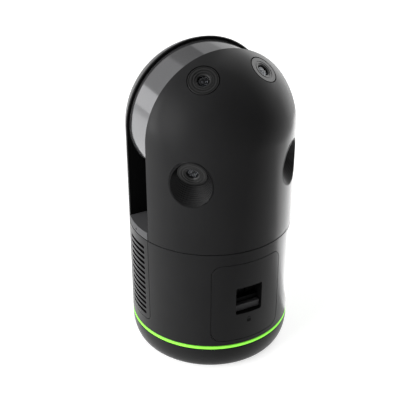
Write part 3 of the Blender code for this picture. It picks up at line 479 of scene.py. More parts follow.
charcoal = grained("charcoal_paint", (0.017, 0.017, 0.0175), 0.46, 6000.0, 0.05, 0.08, 0.25, specular=0.07)
edge_gloss(charcoal, 0.20, 0.75, 0.24)
# Black of the cheek plates, also painted on cut faces in slots, pockets and holes as painted shade.
black_and_painted_shade = grained("slot_black_and_painted_shade", (0.0025, 0.0025, 0.0026), 0.6, 7000.0, 0.1, 0.1, 0.2, specular=0.1)
cup_black = grained("cup_black", (0.004, 0.004, 0.0043), 0.40, 6000.0, 0.1, 0.1, 0.15, specular=0.14)
# The latch and the button are black plastic; this lighter grey is painted light, for faces that catch the
# light.
black_with_painted_light = grained("black_with_painted_light", (0.045, 0.045, 0.047), 0.42, 6000.0, 0.06, 0.1, 0.2, specular=0.2)
# A shade lighter than the body: painted sheen for the sill's top face.
sill_painted_sheen = grained("sill_painted_sheen", (0.082, 0.082, 0.085), 0.5, 6000.0, 0.05, 0.08, 0.25, specular=0.2)
sink_black = grained("anodised_black", (0.006, 0.006, 0.007), 0.45, 5000.0, 0.1, 0.1, 0.2, specular=0.2)
pack_dark = grained("pack_plastic", (0.022, 0.022, 0.024), 0.5, 4000.0, 0.08, 0.12, 0.3)
pad_rubber = grained("pad_rubber", (0.018, 0.018, 0.018), 0.75, 3000.0, 0.12, 0.1, 0.5, specular=0.3)
iris_black = grained("iris_black", (0.006, 0.006, 0.007), 0.5, 9000.0, 0.1, 0.05, 0.1, specular=0.1)
aluminium = brushed("raw_aluminium", (0.58, 0.58, 0.60), 0.34, (900.0, 900.0, 6000.0))
steel = brushed("turned_steel", (0.50, 0.50, 0.51), 0.28, (600.0, 600.0, 9000.0))
print("painted and metal finishes:", len(bpy.data.materials))

# %% [markdown]
# ## Special finishes
#
# Some surfaces need more than grain. The drum is polished and mirrors the studio's walls. The
# green ring is a light guide with a row of small lamps behind it: it is brightest along its
# middle line and falls off towards both edges. The lens discs and the irises behind the glass
# take the turned rings group, centred on each lens, once as fine ridges and once as wider bands
# of two greys, which are painted shade and painted highlight for their steps. The circuit board
# has tracks, and the windings have strands.

# %% Drum, light ring and mirror
drum_gloss = grained("drum_gloss", (0.34, 0.34, 0.35), 0.10, 5000.0, 0.02, 0.04, 0.02,
                     metallic=0.9, coat=0.3, coat_rough=0.05)
mirror_face = grained("mirror_coating", (0.90, 0.90, 0.91), 0.02, 4000.0, 0.01, 0.02, 0.0, metallic=1.0)

LAMPS_ROUND = 36
RING_Z, CORE_HALF, RING_HALF = 13.7 * MM, 0.35 * MM, 0.9 * MM
green_light, tree, sockets = plain_shader("light_guide")
surfaced(tree, sockets, grain_tree, Colour=(0.18, 0.60, 0.05, 1.0), Roughness=0.4)
place = add(tree, "ShaderNodeSeparateXYZ", {0: add(tree, "ShaderNodeTexCoord").outputs["Object"]})
turn = calc(tree, "ARCTAN2", place.outputs["Y"], place.outputs["X"])
lamps = calc(tree, "SINE", calc(tree, "MULTIPLY", turn, LAMPS_ROUND))
level = calc(tree, "MULTIPLY_ADD", lamps, 0.04, 0.96)
off_centre = calc(tree, "ABSOLUTE", calc(tree, "SUBTRACT", place.outputs["Z"], RING_Z))
fall = add(tree, "ShaderNodeMapRange", {
    "Value": off_centre, "From Min": CORE_HALF, "From Max": RING_HALF, "To Min": 1.0, "To Max": 0.25},
    interpolation_type="SMOOTHSTEP")
level = calc(tree, "MULTIPLY", level, fall.outputs[0])
tree.links.new(vmath(tree, "SCALE", (0.25, 0.83, 0.05), scale=level), sockets["Emission Color"])
sockets["Emission Strength"].default_value = 1.0

# %% Lens rings and glass
def lens_place(azimuth, elevation, centre):
    """Placement whose +Z is the way a lens looks."""
    look = Vector((math.cos(elevation) * math.cos(azimuth), math.cos(elevation) * math.sin(azimuth),
                   math.sin(elevation)))
    across = Vector((-math.sin(azimuth), math.cos(azimuth), 0.0))
    turn = Matrix((across, look.cross(across), look)).transposed().to_4x4()
    return Matrix.Translation(centre) @ turn


RIDGES = 5000.0                    # ridges per metre, on the turned discs


def lens_ring_look(name, place, pitch, inner, outer):
    """Satin disc with lathe rings and bands of two greys, painted shade and painted highlight, centred on one
    lens.
    """
    look, tree, sockets = plain_shader(name, specular=0.15)
    centred = add(tree, "ShaderNodeMapping", {
        "Vector": add(tree, "ShaderNodeTexCoord").outputs["Object"],
        "Location": place.translation, "Rotation": place.to_euler()}, vector_type="TEXTURE")
    rings = add(tree, "ShaderNodeGroup", {"Rings": RIDGES, "Vector": centred.outputs[0]}, node_tree=ring_tree)
    # Bands of two greys: painted shade and painted highlight for the steps of the mount.
    bands = calc(tree, "PINGPONG", calc(tree, "DIVIDE", rings.outputs["Radius"], pitch), 1.0)
    bands = add(tree, "ShaderNodeMapRange", {"Value": bands, "From Min": 0.35, "From Max": 0.65}).outputs[0]
    shades = add(tree, "ShaderNodeMix", {
        "Factor": bands, 6: (inner, inner, inner, 1.0), 7: (outer, outer, outer, 1.0)}, data_type="RGBA")
    surfaced(tree, sockets, grain_tree, Colour=shades.outputs[2], Roughness=0.42)
    roughen(tree, sockets, rings.outputs["Height"], 0.3, GRAIN_DEPTH)
    return edge_gloss(look, 0.25, 0.60, 0.18)


lens_glass, tree, sockets = plain_shader("lens_glass")
sockets["Transmission Weight"].default_value = 1.0
sockets["IOR"].default_value = 1.25
surfaced(tree, sockets, grain_tree, Colour=(0.72, 0.74, 0.78, 1.0), Roughness=0.03, Smudge=0.02)
print("glass and lens rings ready")

# %% Circuit board and windings
board_green, tree, sockets = plain_shader("circuit_board")
place = add(tree, "ShaderNodeTexCoord").outputs["Object"]
tracks = add(tree, "ShaderNodeTexBrick", {
    "Vector": place, "Scale": 220.0, "Color1": (0.015, 0.11, 0.055, 1.0),
    "Color2": (0.018, 0.13, 0.065, 1.0), "Mortar": (0.06, 0.22, 0.12, 1.0), "Mortar Size": 0.03})
surfaced(tree, sockets, grain_tree, Colour=tracks.outputs["Color"], Roughness=0.4)
roughen(tree, sockets, tracks.outputs["Fac"], 0.3, 0.05 * MM)

winding, tree, sockets = plain_shader("copper_winding", metallic=0.9)
place = add(tree, "ShaderNodeTexCoord").outputs["Object"]
strands = add(tree, "ShaderNodeTexWave", {"Vector": place, "Scale": 900.0, "Distortion": 1.5})
shades = add(tree, "ShaderNodeMix", {
    "Factor": strands.outputs["Fac"], 6: (0.30, 0.11, 0.04, 1.0), 7: (0.62, 0.27, 0.11, 1.0)},
    data_type="RGBA")
tree.links.new(shades.outputs[2], sockets["Base Color"])
sockets["Roughness"].default_value = 0.38
roughen(tree, sockets, strands.outputs["Fac"], 0.4, 0.1 * MM)
print("all finishes:", len(bpy.data.materials))

# %% [markdown]
# ## The studio
#
# The photograph has a plain white ground. The ground is a floor that the object really stands on,
# so it keeps a soft shadow. Rays from the camera see some extra white in it, and rays from gloss
# or through glass see half of that, because the upright walls of the body mirror the floor and
# would otherwise melt into the background at their left edge. Diffuse rays see none of it, so
# matt surfaces are not lit by it.

# %% Floor
WHITE_SEEN, WHITE_MIRRORED = 0.70, 0.35
bm = bmesh.new()
bmesh.ops.create_grid(bm, x_segments=8, y_segments=8, size=5.0)
white_floor, tree, sockets = plain_shader("white_floor", specular=0.0)
surfaced(tree, sockets, grain_tree, Colour=(0.60, 0.60, 0.60, 1.0), Roughness=0.9, Mottle=0.01, Grain=300.0)
path = add(tree, "ShaderNodeLightPath").outputs
direct = calc(tree, "MULTIPLY", path["Is Camera Ray"], WHITE_SEEN)
mirrored = calc(tree, "MAXIMUM", path["Is Glossy Ray"], path["Is Transmission Ray"])
tree.links.new(calc(tree, "MULTIPLY_ADD", mirrored, WHITE_MIRRORED, direct), sockets["Emission Strength"])
sockets["Emission Color"].default_value = (1.0, 1.0, 1.0, 1.0)
floor = make_piece("floor", bm, white_floor)
floor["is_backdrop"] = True
print("floor is", floor.dimensions.x, "m wide")

# %% [markdown]
# A polished drum shows whatever stands round it, so the walls of the studio matter more than its
# lamps. The world is painted as two bands of grey, one near the floor and one higher up, and in
# each band the grey changes with the direction. The bright wall behind on the right makes the
# dome's soft highlight, and the darker patches behind on the left are the panels that the drum
# mirrors. The directions are counted from the side that the photograph shows.

# %% Walls
world = bpy.data.worlds.new("studio")
bpy.context.scene.world = world
world.use_nodes = True
tree = world.node_tree
VIEW_SIDE = math.radians(-28.4)          # world azimuth of the side that the photograph shows


def wall_levels(name, way, stops):
    """Grey levels round the horizon; stops are (degrees from the near side, level)."""
    ramp = add(tree, "ShaderNodeValToRGB", {"Fac": way}, name=name, label=name)
    colours = ramp.color_ramp.elements
    colours[0].position, colours[1].position = 0.0, 1.0
    for degrees, level in stops:
        made = colours.new(degrees / 360 + 0.5)
        made.color = (level, level, level, 1.0)
    colours[0].color = colours[1].color
    colours[len(colours) - 1].color = colours[len(colours) - 2].color
    return ramp.outputs["Color"]


BAND_LOW, BAND_HIGH = 0.235, 0.250       # heights of a direction between the two bands
DIM_FROM, DIM_TOP = 0.5, 0.9
NEAR_STOPS = ((-179, 0.45), (-160, 0.45), (-130, 1.0), (-110, 1.0), (-60, 0.6), (-20, 0.06), (70, 0.06),
              (105, 0.9), (150, 0.9), (179, 0.45))
HIGH_STOPS = ((-179, 0.34), (-171.5, 0.34), (-170.5, 0.16), (-149.5, 0.20), (-148.5, 0.36), (-90, 0.36),
              (-30, 0.04), (60, 0.04), (90, 0.90), (115, 1.50), (160, 1.50), (172, 0.34), (179, 0.34))
place = add(tree, "ShaderNodeTexCoord").outputs["Generated"]
spun = add(tree, "ShaderNodeVectorRotate", {"Vector": place, "Angle": -VIEW_SIDE}, rotation_type="Z_AXIS")
spot = add(tree, "ShaderNodeSeparateXYZ", {0: spun.outputs[0]})
turn = calc(tree, "ARCTAN2", spot.outputs["Y"], spot.outputs["X"])
turn = calc(tree, "MULTIPLY_ADD", turn, 1 / math.tau, 0.5)
near_floor = wall_levels("near the floor", turn, NEAR_STOPS)
higher_up = wall_levels("higher up", turn, HIGH_STOPS)
step = add(tree, "ShaderNodeMapRange", {
    "Value": spot.outputs["Z"], "From Min": BAND_LOW, "From Max": BAND_HIGH})
walls = add(tree, "ShaderNodeMix", {"Factor": step.outputs[0], 6: near_floor, 7: higher_up},
            data_type="RGBA")
dim = add(tree, "ShaderNodeMapRange", {
    "Value": spot.outputs["Z"], "From Min": DIM_FROM, "To Min": 1.0, "To Max": DIM_TOP})
tree.links.new(walls.outputs[2], tree.nodes["Background"].inputs["Color"])
tree.links.new(dim.outputs[0], tree.nodes["Background"].inputs["Strength"])
bpy.context.scene.view_settings.view_transform = "Standard"
print("the walls have", len(NEAR_STOPS), "levels near the floor and", len(HIGH_STOPS), "higher up")

# %% [markdown]
# Three softboxes light the object: a broad one on the slot's side, a weak one behind on the right
# and a weak one overhead. The white line down the right edge comes from below. An upright wall
# that is seen from above mirrors the floor, so two glowing sheets lie just over the floor behind
# the body on its right: a wide one for the hood, and a small near one for the lower body. The
# camera does not see them.

# %% Lights
MIDDLE = Vector((0.0, 0.0, 0.08))


def softbox(name, azimuth, elevation, distance, width, height, power):
    """Area light aimed at the object, in degrees, metres and watts; azimuth 0 is the -Y side."""
    a, e = math.radians(azimuth), math.radians(elevation)
    away = Vector((math.sin(a) * math.cos(e), -math.cos(a) * math.cos(e), math.sin(e)))
    lamp = bpy.data.lights.new(name, "AREA")
    lamp.shape = "RECTANGLE"
    lamp.size, lamp.size_y, lamp.energy = width, height, power
    made = bpy.data.objects.new(name, lamp)
    bpy.context.scene.collection.objects.link(made)
    made.location = MIDDLE + away * distance
    made.rotation_euler = (-away).to_track_quat("-Z", "Y").to_euler()
    return made


for row in (("broad_left", 0, 15, 1.1, 1.0, 0.8, 19.0), ("strip_right", 202, 12, 0.7, 0.6, 0.6, 0.7),
            ("overhead", 60, 88, 1.3, 1.2, 1.2, 1.3)):
    softbox(*row)
SWEEP_TURN, SWEEP_Z = math.radians(61.6), 3 * MM
for row in (("wide_sweep", 204, 0, 0.214, 0.26, 0.30, 0.45),
            ("near_sweep", 187, 0, 0.106, 0.11, 0.11, 0.055)):
    sweep = softbox(*row)
    sweep.location.z = SWEEP_Z
    sweep.rotation_euler = (math.pi, 0.0, SWEEP_TURN)
    sweep.visible_camera = False

# %% [markdown]
# ## The foot
#
# The foot is a turned cup with a rounded lower edge. A rubber ring is let into its underside, and
# a threaded steel insert takes a tripod screw. All three are lathe work, so each is one spun
# outline. The thread is the exception: its radius follows a triangle wave that climbs as it
# turns, which makes a true helix without any sweeping.

# %% Foot shell, pad and light ring
EDGE_IN, EDGE_UP, EDGE_CUT, EDGE_STEPS = 5.2, 11.5, 11.2, 24     # the rounded lower edge, in mm
edge_start = math.asin(EDGE_CUT / EDGE_UP)
edge = []
for step in range(EDGE_STEPS + 1):
    angle = edge_start * (1 - step / EDGE_STEPS)
    edge.append((40 - EDGE_IN * (1 - math.cos(angle)), EDGE_UP * (1 - math.sin(angle))))
foot = turned("foot_cup", mm(
    (8.3, 0.3), (19.7, 0.3), (19.7, 2.1), (33.3, 2.1), (33.3, 0.3), *edge, (40, 12.45), (39.85, 12.6),
    (38, 12.6), (38, 9.5), (33.8, 4.6), (11.0, 4.6), (11.0, 11.0), (8.3, 11.0)), charcoal)
hand_over(shade(foot), "foot", "charcoal_shell", "foot_shell")

GROOVES, FIRST_GROOVE, GROOVE_PITCH = 6, 21.6, 1.75
tread = [(20, 0.2), (20.2, 0)]
for groove in range(GROOVES):
    near = FIRST_GROOVE + groove * GROOVE_PITCH
    tread += [(near, 0), (near + 0.1, 0.45), (near + 0.6, 0.45), (near + 0.7, 0)]
pad = turned("foot_tread", mm(*tread, (32.8, 0), (33, 0.2), (33, 1.5), (20, 1.5)), pad_rubber)
hand_over(shade(pad), "foot", "rubber", "foot_pad")

light = turned("light_guide", mm((37, 12.9), (39.85, 12.9), (40, 13.05), (40, 14.35), (39.85, 14.5),
                                 (37, 14.5)), green_light)
hand_over(shade(light), "head", "green_light", "light_ring")

# %% Threaded insert
THREAD_LEAD = 0.4 * MM             # plain part of the bore at each end of the thread


def threaded_insert(bore, outer, low, high, pitch, depth, around=64, per_turn=8):
    """Ring whose bore carries a helical thread."""
    rows = int((high - low) / pitch * per_turn)
    bm = bmesh.new()
    stations = [(outer, high), (outer, low), (bore + depth, low)]
    for row in range(rows + 1):
        stations.append((None, low + THREAD_LEAD + (high - low - 2 * THREAD_LEAD) * row / rows))
    stations.append((bore + depth, high))
    columns = []
    for index in range(around):
        turn = math.tau * index / around
        column = []
        for radius, z in stations:
            if radius is None:
                phase = (z / pitch - index / around) % 1.0
                radius = bore + depth * abs(2 * phase - 1)
            column.append(bm.verts.new((radius * math.cos(turn), radius * math.sin(turn), z)))
        columns.append(column)
    for one, two in zip(columns, columns[1:] + columns[:1]):
        for k in range(len(one)):
            after = (k + 1) % len(one)
            bm.faces.new((one[k], two[k], two[after], one[after]))
    return make_piece("threaded_insert", bm, steel)


insert = threaded_insert(3.1 * MM, 8.0 * MM, 0.3 * MM, 10.3 * MM, 1.27 * MM, 0.5 * MM)
hand_over(shade(insert, 50), "foot", "steel", "mount_insert")

# %% [markdown]
# ## The lower body
#
# The tube between the light ring and the seam has a window for the battery, two openings for the
# vent strips and a hole for the power button. Each is cut with a plate of the right outline, and
# the thin shadow gap round each insert comes from the clearance alone.

# %% Body tube
tube = turned("body_tube", mm((38, 14.8), (39.85, 14.8), (40, 14.95), (40, 66.0), (39.85, 66.15),
                              (38, 66.15)), charcoal)
window = rounded(-18.5 * MM, 18.5 * MM, 17.2 * MM, 60.3 * MM, (5.3 * MM,) * 4)
carve(tube, plate("window", window, "X", 20 * MM, FAR))
vent_hole = rounded(-SLOT_HALF, SLOT_HALF, 20.2 * MM, 70 * MM, (3.3 * MM, 3.3 * MM, 0, 0))
carve(tube, plate("vent_hole", vent_hole, "Y", -FAR, -20 * MM))
carve(tube, plate("vent_hole", vent_hole, "Y", 20 * MM, FAR))
carve(tube, plate("button_hole", arc(5.3 * MM, 0, 354, 59, 0.0, 40 * MM), "X", -FAR, -20 * MM))
hand_over(shade(tube), "head", "charcoal_shell", "body_shell")

# %% [markdown]
# ## Cooling slots
#
# Fourteen equal slots climb each vent strip. A row of equal holes is work for Geometry Nodes: one
# rounded bar is made from a filleted rectangle, a Mesh Line gives it fourteen places, and one
# Boolean cuts them all. Changing the count or the pitch is then one number. The modifier's inputs
# are set by the identifier of each socket, because two sockets may share a name. The tree ends by
# painting the strip, and then by giving whatever lies deeper than the skin a black finish as
# painted shade, so that the slots read as black from any side.

# %% Slot cutting tree
def set_inputs(modifier, values):
    """Set a node modifier's inputs through their sockets' identifiers."""
    for item in modifier.node_group.interface.items_tree:
        if item.item_type == "SOCKET" and item.in_out == "INPUT" and item.name in values:
            modifier[item.identifier] = values[item.name]


GEOMETRY, COUNT, LOOK = "NodeSocketGeometry", "NodeSocketInt", "NodeSocketMaterial"
slot_tree, given, result = new_group(
    "cooling_slots",
    [("Strip", GEOMETRY, None), ("Slots", COUNT, 14), ("Pitch", NUMBER, 0.003), ("Width", NUMBER, 0.014),
     ("Height", NUMBER, 0.0012), ("Side", NUMBER, -1.0), ("Top", NUMBER, 0.06),
     ("Skin Radius", NUMBER, 0.0399), ("Finish", LOOK, None), ("Painted Shade", LOOK, None)],
    [("Strip", GEOMETRY)], "GeometryNodeTree")
outline = add(slot_tree, "GeometryNodeCurvePrimitiveQuadrilateral",
              {"Width": given["Width"], "Height": given["Height"]})
BAR_HALF, ROUNDING = 12 * MM, 0.48       # half length of a cutting bar; corner radius per height
corner = calc(slot_tree, "MULTIPLY", given["Height"], ROUNDING)
filleted = add(slot_tree, "GeometryNodeFilletCurve", {"Curve": outline.outputs[0], "Radius": corner,
                                                      "Count": 5}, mode="POLY")
way = add(slot_tree, "GeometryNodeCurvePrimitiveLine", {
    "Start": (0.0, -BAR_HALF, 0.0), "End": (0.0, BAR_HALF, 0.0)})
bar = add(slot_tree, "GeometryNodeCurveToMesh", {
    "Curve": way.outputs[0], "Profile Curve": filleted.outputs[0], "Fill Caps": True})
depth = calc(slot_tree, "MULTIPLY", given["Side"], BODY_R)
first = add(slot_tree, "ShaderNodeCombineXYZ", {"Y": depth, "Z": given["Top"]}).outputs[0]
fall = calc(slot_tree, "MULTIPLY", given["Pitch"], -1.0)
down = add(slot_tree, "ShaderNodeCombineXYZ", {"Z": fall}).outputs[0]
ladder = add(slot_tree, "GeometryNodeMeshLine", {
    "Count": given["Slots"], "Start Location": first, "Offset": down})
bars = add(slot_tree, "GeometryNodeInstanceOnPoints", {
    "Points": ladder.outputs[0], "Instance": bar.outputs[0]})
solid_bars = add(slot_tree, "GeometryNodeRealizeInstances", {0: bars.outputs[0]})
cut = add(slot_tree, "GeometryNodeMeshBoolean", operation="DIFFERENCE", solver="EXACT")
slot_tree.links.new(given["Strip"], cut.inputs["Mesh 1"])
slot_tree.links.new(solid_bars.outputs[0], cut.inputs["Mesh 2"])
whole = add(slot_tree, "GeometryNodeRealizeInstances", {0: cut.outputs[0]})
spot = add(slot_tree, "GeometryNodeInputPosition").outputs[0]
flat = vmath(slot_tree, "MULTIPLY", spot, (1.0, 1.0, 0.0))
reach = add(slot_tree, "ShaderNodeVectorMath", {0: flat}, operation="LENGTH").outputs["Value"]
within = add(slot_tree, "FunctionNodeCompare", {"A": reach, "B": given["Skin Radius"]}, data_type="FLOAT",
             operation="LESS_THAN")
painted = add(slot_tree, "GeometryNodeSetMaterial", {
    "Geometry": whole.outputs[0], "Material": given["Finish"]})
# Faces deeper than the skin get the black finish as painted shade.
shade_painted = add(slot_tree, "GeometryNodeSetMaterial", {
    "Geometry": painted.outputs[0], "Selection": within.outputs[0], "Material": given["Painted Shade"]})
slot_tree.links.new(shade_painted.outputs[0], result[0])
print("cooling_slots has", len(slot_tree.nodes), "nodes")

# %% Vent strips
def vent_strip(name, side):
    """Curved strip with its ladder of slots."""
    strip = turned(name, mm((38.2, 14.8), (40, 14.8), (40, 66.3), (38.2, 66.3)))
    outline = rounded(-DRUM_HALF, DRUM_HALF, 20.5 * MM, SEAM_LOW, (3 * MM, 3 * MM, 0, 0))
    near, far = sorted((side * 20 * MM, side * FAR))
    carve(strip, plate("outline", outline, "Y", near, far), "INTERSECT")
    slots = strip.modifiers.new("slots", "NODES")
    slots.node_group = slot_tree
    # The black given last is painted shade on the slot walls.
    set_inputs(slots, {"Slots": 14, "Pitch": 2.88 * MM, "Width": 14.6 * MM, "Height": 1.6 * MM,
                       "Side": float(side), "Top": 61.2 * MM, "Skin Radius": 39.9 * MM,
                       "Finish": charcoal, "Painted Shade": black_and_painted_shade})
    return shade(settle(strip))


hand_over(vent_strip("front_vent", -1), "head", "charcoal_shell", "vent_front")
hand_over(vent_strip("rear_vent", 1), "head", "charcoal_shell", "vent_rear")

# %% [markdown]
# ## The battery door and its latch
#
# The door is a piece of the same tube, cut by its own outline. A box stands behind it for
# the finger pocket, and a plain padlock sign, as on any lock, is engraved under the pocket. The
# inside of the pocket and the engraved sign get black painted shade. The latch in it has two steps:
# the lower one stands further out, for the fingertip, and is black plastic painted a lighter grey as
# painted light, and the ledge above it gets the black painted shade of the pocket.

# %% Battery door
door = turned("battery_door", mm((38, 14.8), (40, 14.8), (40, 66.15), (38, 66.15)), charcoal)
door_outline = rounded(-18.2 * MM, 18.2 * MM, 17.5 * MM, 60.0 * MM, (5 * MM,) * 4)
carve(door, plate("door_outline", door_outline, "X", 20 * MM, FAR), "INTERSECT")
carve(door, plate("pocket_box", box_outline(-8.2 * MM, 8.2 * MM, 30.8 * MM, 48.0 * MM), "X",
                  31.6 * MM, 38.3 * MM), "UNION")
pocket = rounded(-7 * MM, 7 * MM, 32 * MM, 46.8 * MM, (0.8 * MM,) * 4, 6)
# The inside of the pocket and the neck slot get black painted shade.
carve(door, plate("pocket", pocket, "X", 32.8 * MM, FAR), painted_shade=black_and_painted_shade)
carve(door, plate("neck_slot", box_outline(-1.9 * MM, 1.9 * MM, 33.65 * MM, 41.25 * MM), "X",
                  31.3 * MM, 33.1 * MM), painted_shade=black_and_painted_shade)
soften(door, 0.12 * MM)
SIGN_X = 39.8 * MM                 # bottom of the engraved padlock
SHACKLE_OUT, SHACKLE_IN, SHACKLE_LOW, SHACKLE_Z = 0.75 * MM, 0.45 * MM, 28.35 * MM, 28.7 * MM
lock_body = rounded(-1.0 * MM, 1.0 * MM, 26.6 * MM, 28.2 * MM, (0.2 * MM,) * 4, 4)
# The engraved padlock gets black painted shade.
carve(door, plate("lock_body", lock_body, "X", SIGN_X, FAR), painted_shade=black_and_painted_shade)
over, under = arc(SHACKLE_OUT, 0, 180, 16, 0, SHACKLE_Z), arc(SHACKLE_IN, 180, 0, 16, 0, SHACKLE_Z)
shackle = [(SHACKLE_OUT, SHACKLE_LOW), *over, (-SHACKLE_OUT, SHACKLE_LOW),
           (-SHACKLE_IN, SHACKLE_LOW), *under, (SHACKLE_IN, SHACKLE_LOW)]
carve(door, plate("shackle", shackle, "X", SIGN_X, FAR), painted_shade=black_and_painted_shade)
hand_over(shade(door), "battery", "charcoal_shell", "battery_panel")

# %% Latch
LATCH_HALF = 6.7 * MM
# The grey of the nose is painted light on black plastic.
nose = mm((33.1, 32.3), (37.5, 32.3), (37.8, 32.8), (37.8, 36.0), (33.1, 36.0))
latch = soften(plate("finger_latch", nose, "Y", -LATCH_HALF, LATCH_HALF, black_with_painted_light), 0.2 * MM, 3)
# The ledge gets black painted shade, like the pocket.
ledge = mm((33.3, 35.8), (35.6, 35.8), (35.6, 38.4), (33.3, 38.4))
carve(latch, plate("ledge", ledge, "Y", -LATCH_HALF, LATCH_HALF), "UNION", black_and_painted_shade)
neck = box_outline(-1.6 * MM, 1.6 * MM, 33.95 * MM, 36.95 * MM)
carve(latch, plate("neck", neck, "X", 30.2 * MM, 33.6 * MM), "UNION")
stem = box_outline(-4 * MM, 4 * MM, 33.95 * MM, 58.6 * MM)
carve(latch, plate("stem", stem, "X", 29.9 * MM, 31.3 * MM), "UNION")
hand_over(shade(latch), "latch", "black_plastic", "latch_slider")

# %% [markdown]
# ## The power button
#
# On the far side a round button sits a little below the surface. It is turned, trimmed to the
# curve of the body, and engraved with the usual sign of a broken ring and a bar. The sign is cut
# before the edges are softened: cut afterwards, the exact Boolean loses the whole button.

# %% Power button
BUTTON = Matrix.Translation((0.0, 0.0, 40 * MM)) @ Matrix.Rotation(math.radians(90), 4, "Y")
# The grey of the button is painted light on black plastic.
button = turned("round_button", mm((0, -40), (5, -40), (5, -37.255), (5.8, -37.255), (5.8, -36.455),
                                   (1.2, -36.455), (1.2, -35.255), (0, -35.255)), black_with_painted_light, 64, BUTTON)
carve(button, turned("face", mm((0, 0), (39.6, 0), (39.6, 115), (0, 115))), "INTERSECT")
SIGN_FLOOR = -39.42 * MM           # bottom of the engraved sign
broken = arc(1.9 * MM, 125, 415, 40, 0, 40 * MM) + arc(1.55 * MM, 415, 125, 40, 0, 40 * MM)
carve(button, plate("broken_ring", broken, "X", -FAR, SIGN_FLOOR))
bar = box_outline(-0.17 * MM, 0.17 * MM, 40.3 * MM, 42.1 * MM)
carve(button, plate("bar", bar, "X", -FAR, SIGN_FLOOR))
soften(button, 0.1 * MM)
hand_over(shade(button), "button", "black_plastic", "power_button")

# %% [markdown]
# ## The slot floor
#
# A sill closes the bottom of the scan slot from front to back. It is a shade lighter than the
# body, as the photograph shows; that lighter colour is painted sheen for its top face. A pinhole
# in its front face is for a reset pin, and its bore gets black painted shade.

# %% Slot floor
sill_outline = box_outline(-DRUM_HALF, DRUM_HALF, -BODY_R, BODY_R)
sill = plate("slot_sill", sill_outline, "Z", SEAM_HIGH, 70.5 * MM, sill_painted_sheen)
carve(sill, turned("limit", mm((0, 0), (40, 0), (40, 115), (0, 115))), "INTERSECT")
carve(sill, plate("hollow", box_outline(-8 * MM, 8 * MM, -34 * MM, 34 * MM), "Z", 0.0, 68.2 * MM))
soften(sill, 0.25 * MM)
pin = arc(0.55 * MM, 0, 345, 23, 0, 68.05 * MM)
# The pinhole's bore gets black painted shade.
carve(sill, plate("pinhole", pin, "Y", -FAR, -38 * MM), painted_shade=black_and_painted_shade)
hand_over(shade(sill), "head", "charcoal_shell", "slot_floor")

# %% [markdown]
# ## The two hoods
#
# Each hood is half of a domed tube. A slab keeps its side of the slot, a smaller capsule cuts the
# step where the black cheek sits, and a slanted bar that follows the slot over the dome breaks
# the edge. That narrow slope is the thin bright line along the slot in the photograph. The cut
# face towards the slot gets the cheek's black as painted shade, so the slot's wall is black to its edge.

# %% Edge break
def skin(name, rings):
    """Skin a row of equal loops and cap both ends."""
    bm = bmesh.new()
    loops = [[bm.verts.new(point) for point in ring] for ring in rings]
    for lower, upper in zip(loops, loops[1:]):
        for index in range(len(lower)):
            after = (index + 1) % len(lower)
            bm.faces.new((lower[index], lower[after], upper[after], upper[index]))
    bm.faces.new(list(reversed(loops[0])))
    bm.faces.new(loops[-1])
    return make_piece(name, bm)


def edge_break(side, reach=0.5 * MM, wall=2 * MM):
    """Bar whose slanted face follows the slot's edge up, over the dome and down."""
    rim = math.sqrt(BODY_R ** 2 - SLOT_HALF ** 2)
    section = [(rim - reach, SLOT_HALF - wall), (rim + wall, SLOT_HALF - wall),
               (rim + wall, SLOT_HALF + reach + wall), (rim - reach, SLOT_HALF)]
    rings = [[(side * x, radius, 0.0) for radius, x in section]]
    for y, z in arc(1.0, 0, 180, 96):
        rings.append([(side * x, radius * y, DOME_Z + radius * z) for radius, x in section])
    rings.append([(side * x, -radius, 0.0) for radius, x in section])
    return skin("edge_break", rings)


# %% Hoods
def hood(name, side):
    """Half of the domed shell with its step for the cheek and its broken edge."""
    outer = [(39.85 * MM, SEAM_HIGH)] + capsule_outline(BODY_R, SEAM_HIGH + 0.15 * MM)
    made = turned(name, list(reversed(outer)) + capsule_outline(INNER_R, SEAM_HIGH), charcoal)
    # The cut face towards the slot gets black painted shade.
    carve(made, side_slab(side, SLOT_HALF), "INTERSECT", black_and_painted_shade)
    carve(made, carve(capsule_solid(39.3 * MM), side_slab(side, 8.3 * MM, 3.5 * MM), "INTERSECT"))
    return carve(made, edge_break(side))


front_hood = hood("camera_side_hood", 1)
back_hood = hood("motor_side_hood", -1)
hand_over(shade(back_hood), "head", "charcoal_shell", "rear_hood")

# %% Cheeks
CHEEK_R, CHEEK_THICK = 39 * MM, 1.2 * MM


def cheek(name, side, hole_r):
    """Black plate that closes a hood towards the slot."""
    made = turned(name, [(0.0, SEAM_HIGH)] + capsule_outline(CHEEK_R, SEAM_HIGH), black_and_painted_shade)
    carve(made, side_slab(side, SLOT_HALF, CHEEK_THICK), "INTERSECT")
    hole = mm((0, -40), (hole_r, -40), (hole_r, 40), (0, 40))
    return carve(made, turned("hole", hole, None, 64, SPINDLE))


hand_over(shade(cheek("camera_side_cheek", 1, 9.1)), "head", "black_plastic", "camera_cheek")
hand_over(shade(cheek("motor_side_cheek", -1, 3.4)), "head", "black_plastic", "rear_cheek")

# %% [markdown]
# ## Four cameras
#
# The camera hood carries four small cameras. The upper two are flush discs on the dome. The lower
# two look 20 degrees down from the bottom of a ribbed cup, which keeps stray light off the glass.
# A disc is turned with a few shallow steps and carries bands of painted shade and painted
# highlight, and the lens is a thin glass dome over a stepped dark iris with soft grey rings of
# painted shade and painted highlight, because depth behind glass is what makes a lens read as a lens.

# %% Bezel and lens
DISC_PITCH, IRIS_PITCH = 0.62 * MM, 0.42 * MM
# Dark and light greys of the painted shade and painted highlight bands.
DISC_PAINTED_SHADES, IRIS_PAINTED_SHADES = (0.009, 0.026), (0.060, 0.006)


def lens_arc(radius, centre, rise, angles):
    """Outline points, in mm, of a shallow glass face."""
    turns = [math.radians(angle) for angle in angles]
    return [(radius * math.cos(turn), centre + rise * math.sin(turn)) for turn in turns]


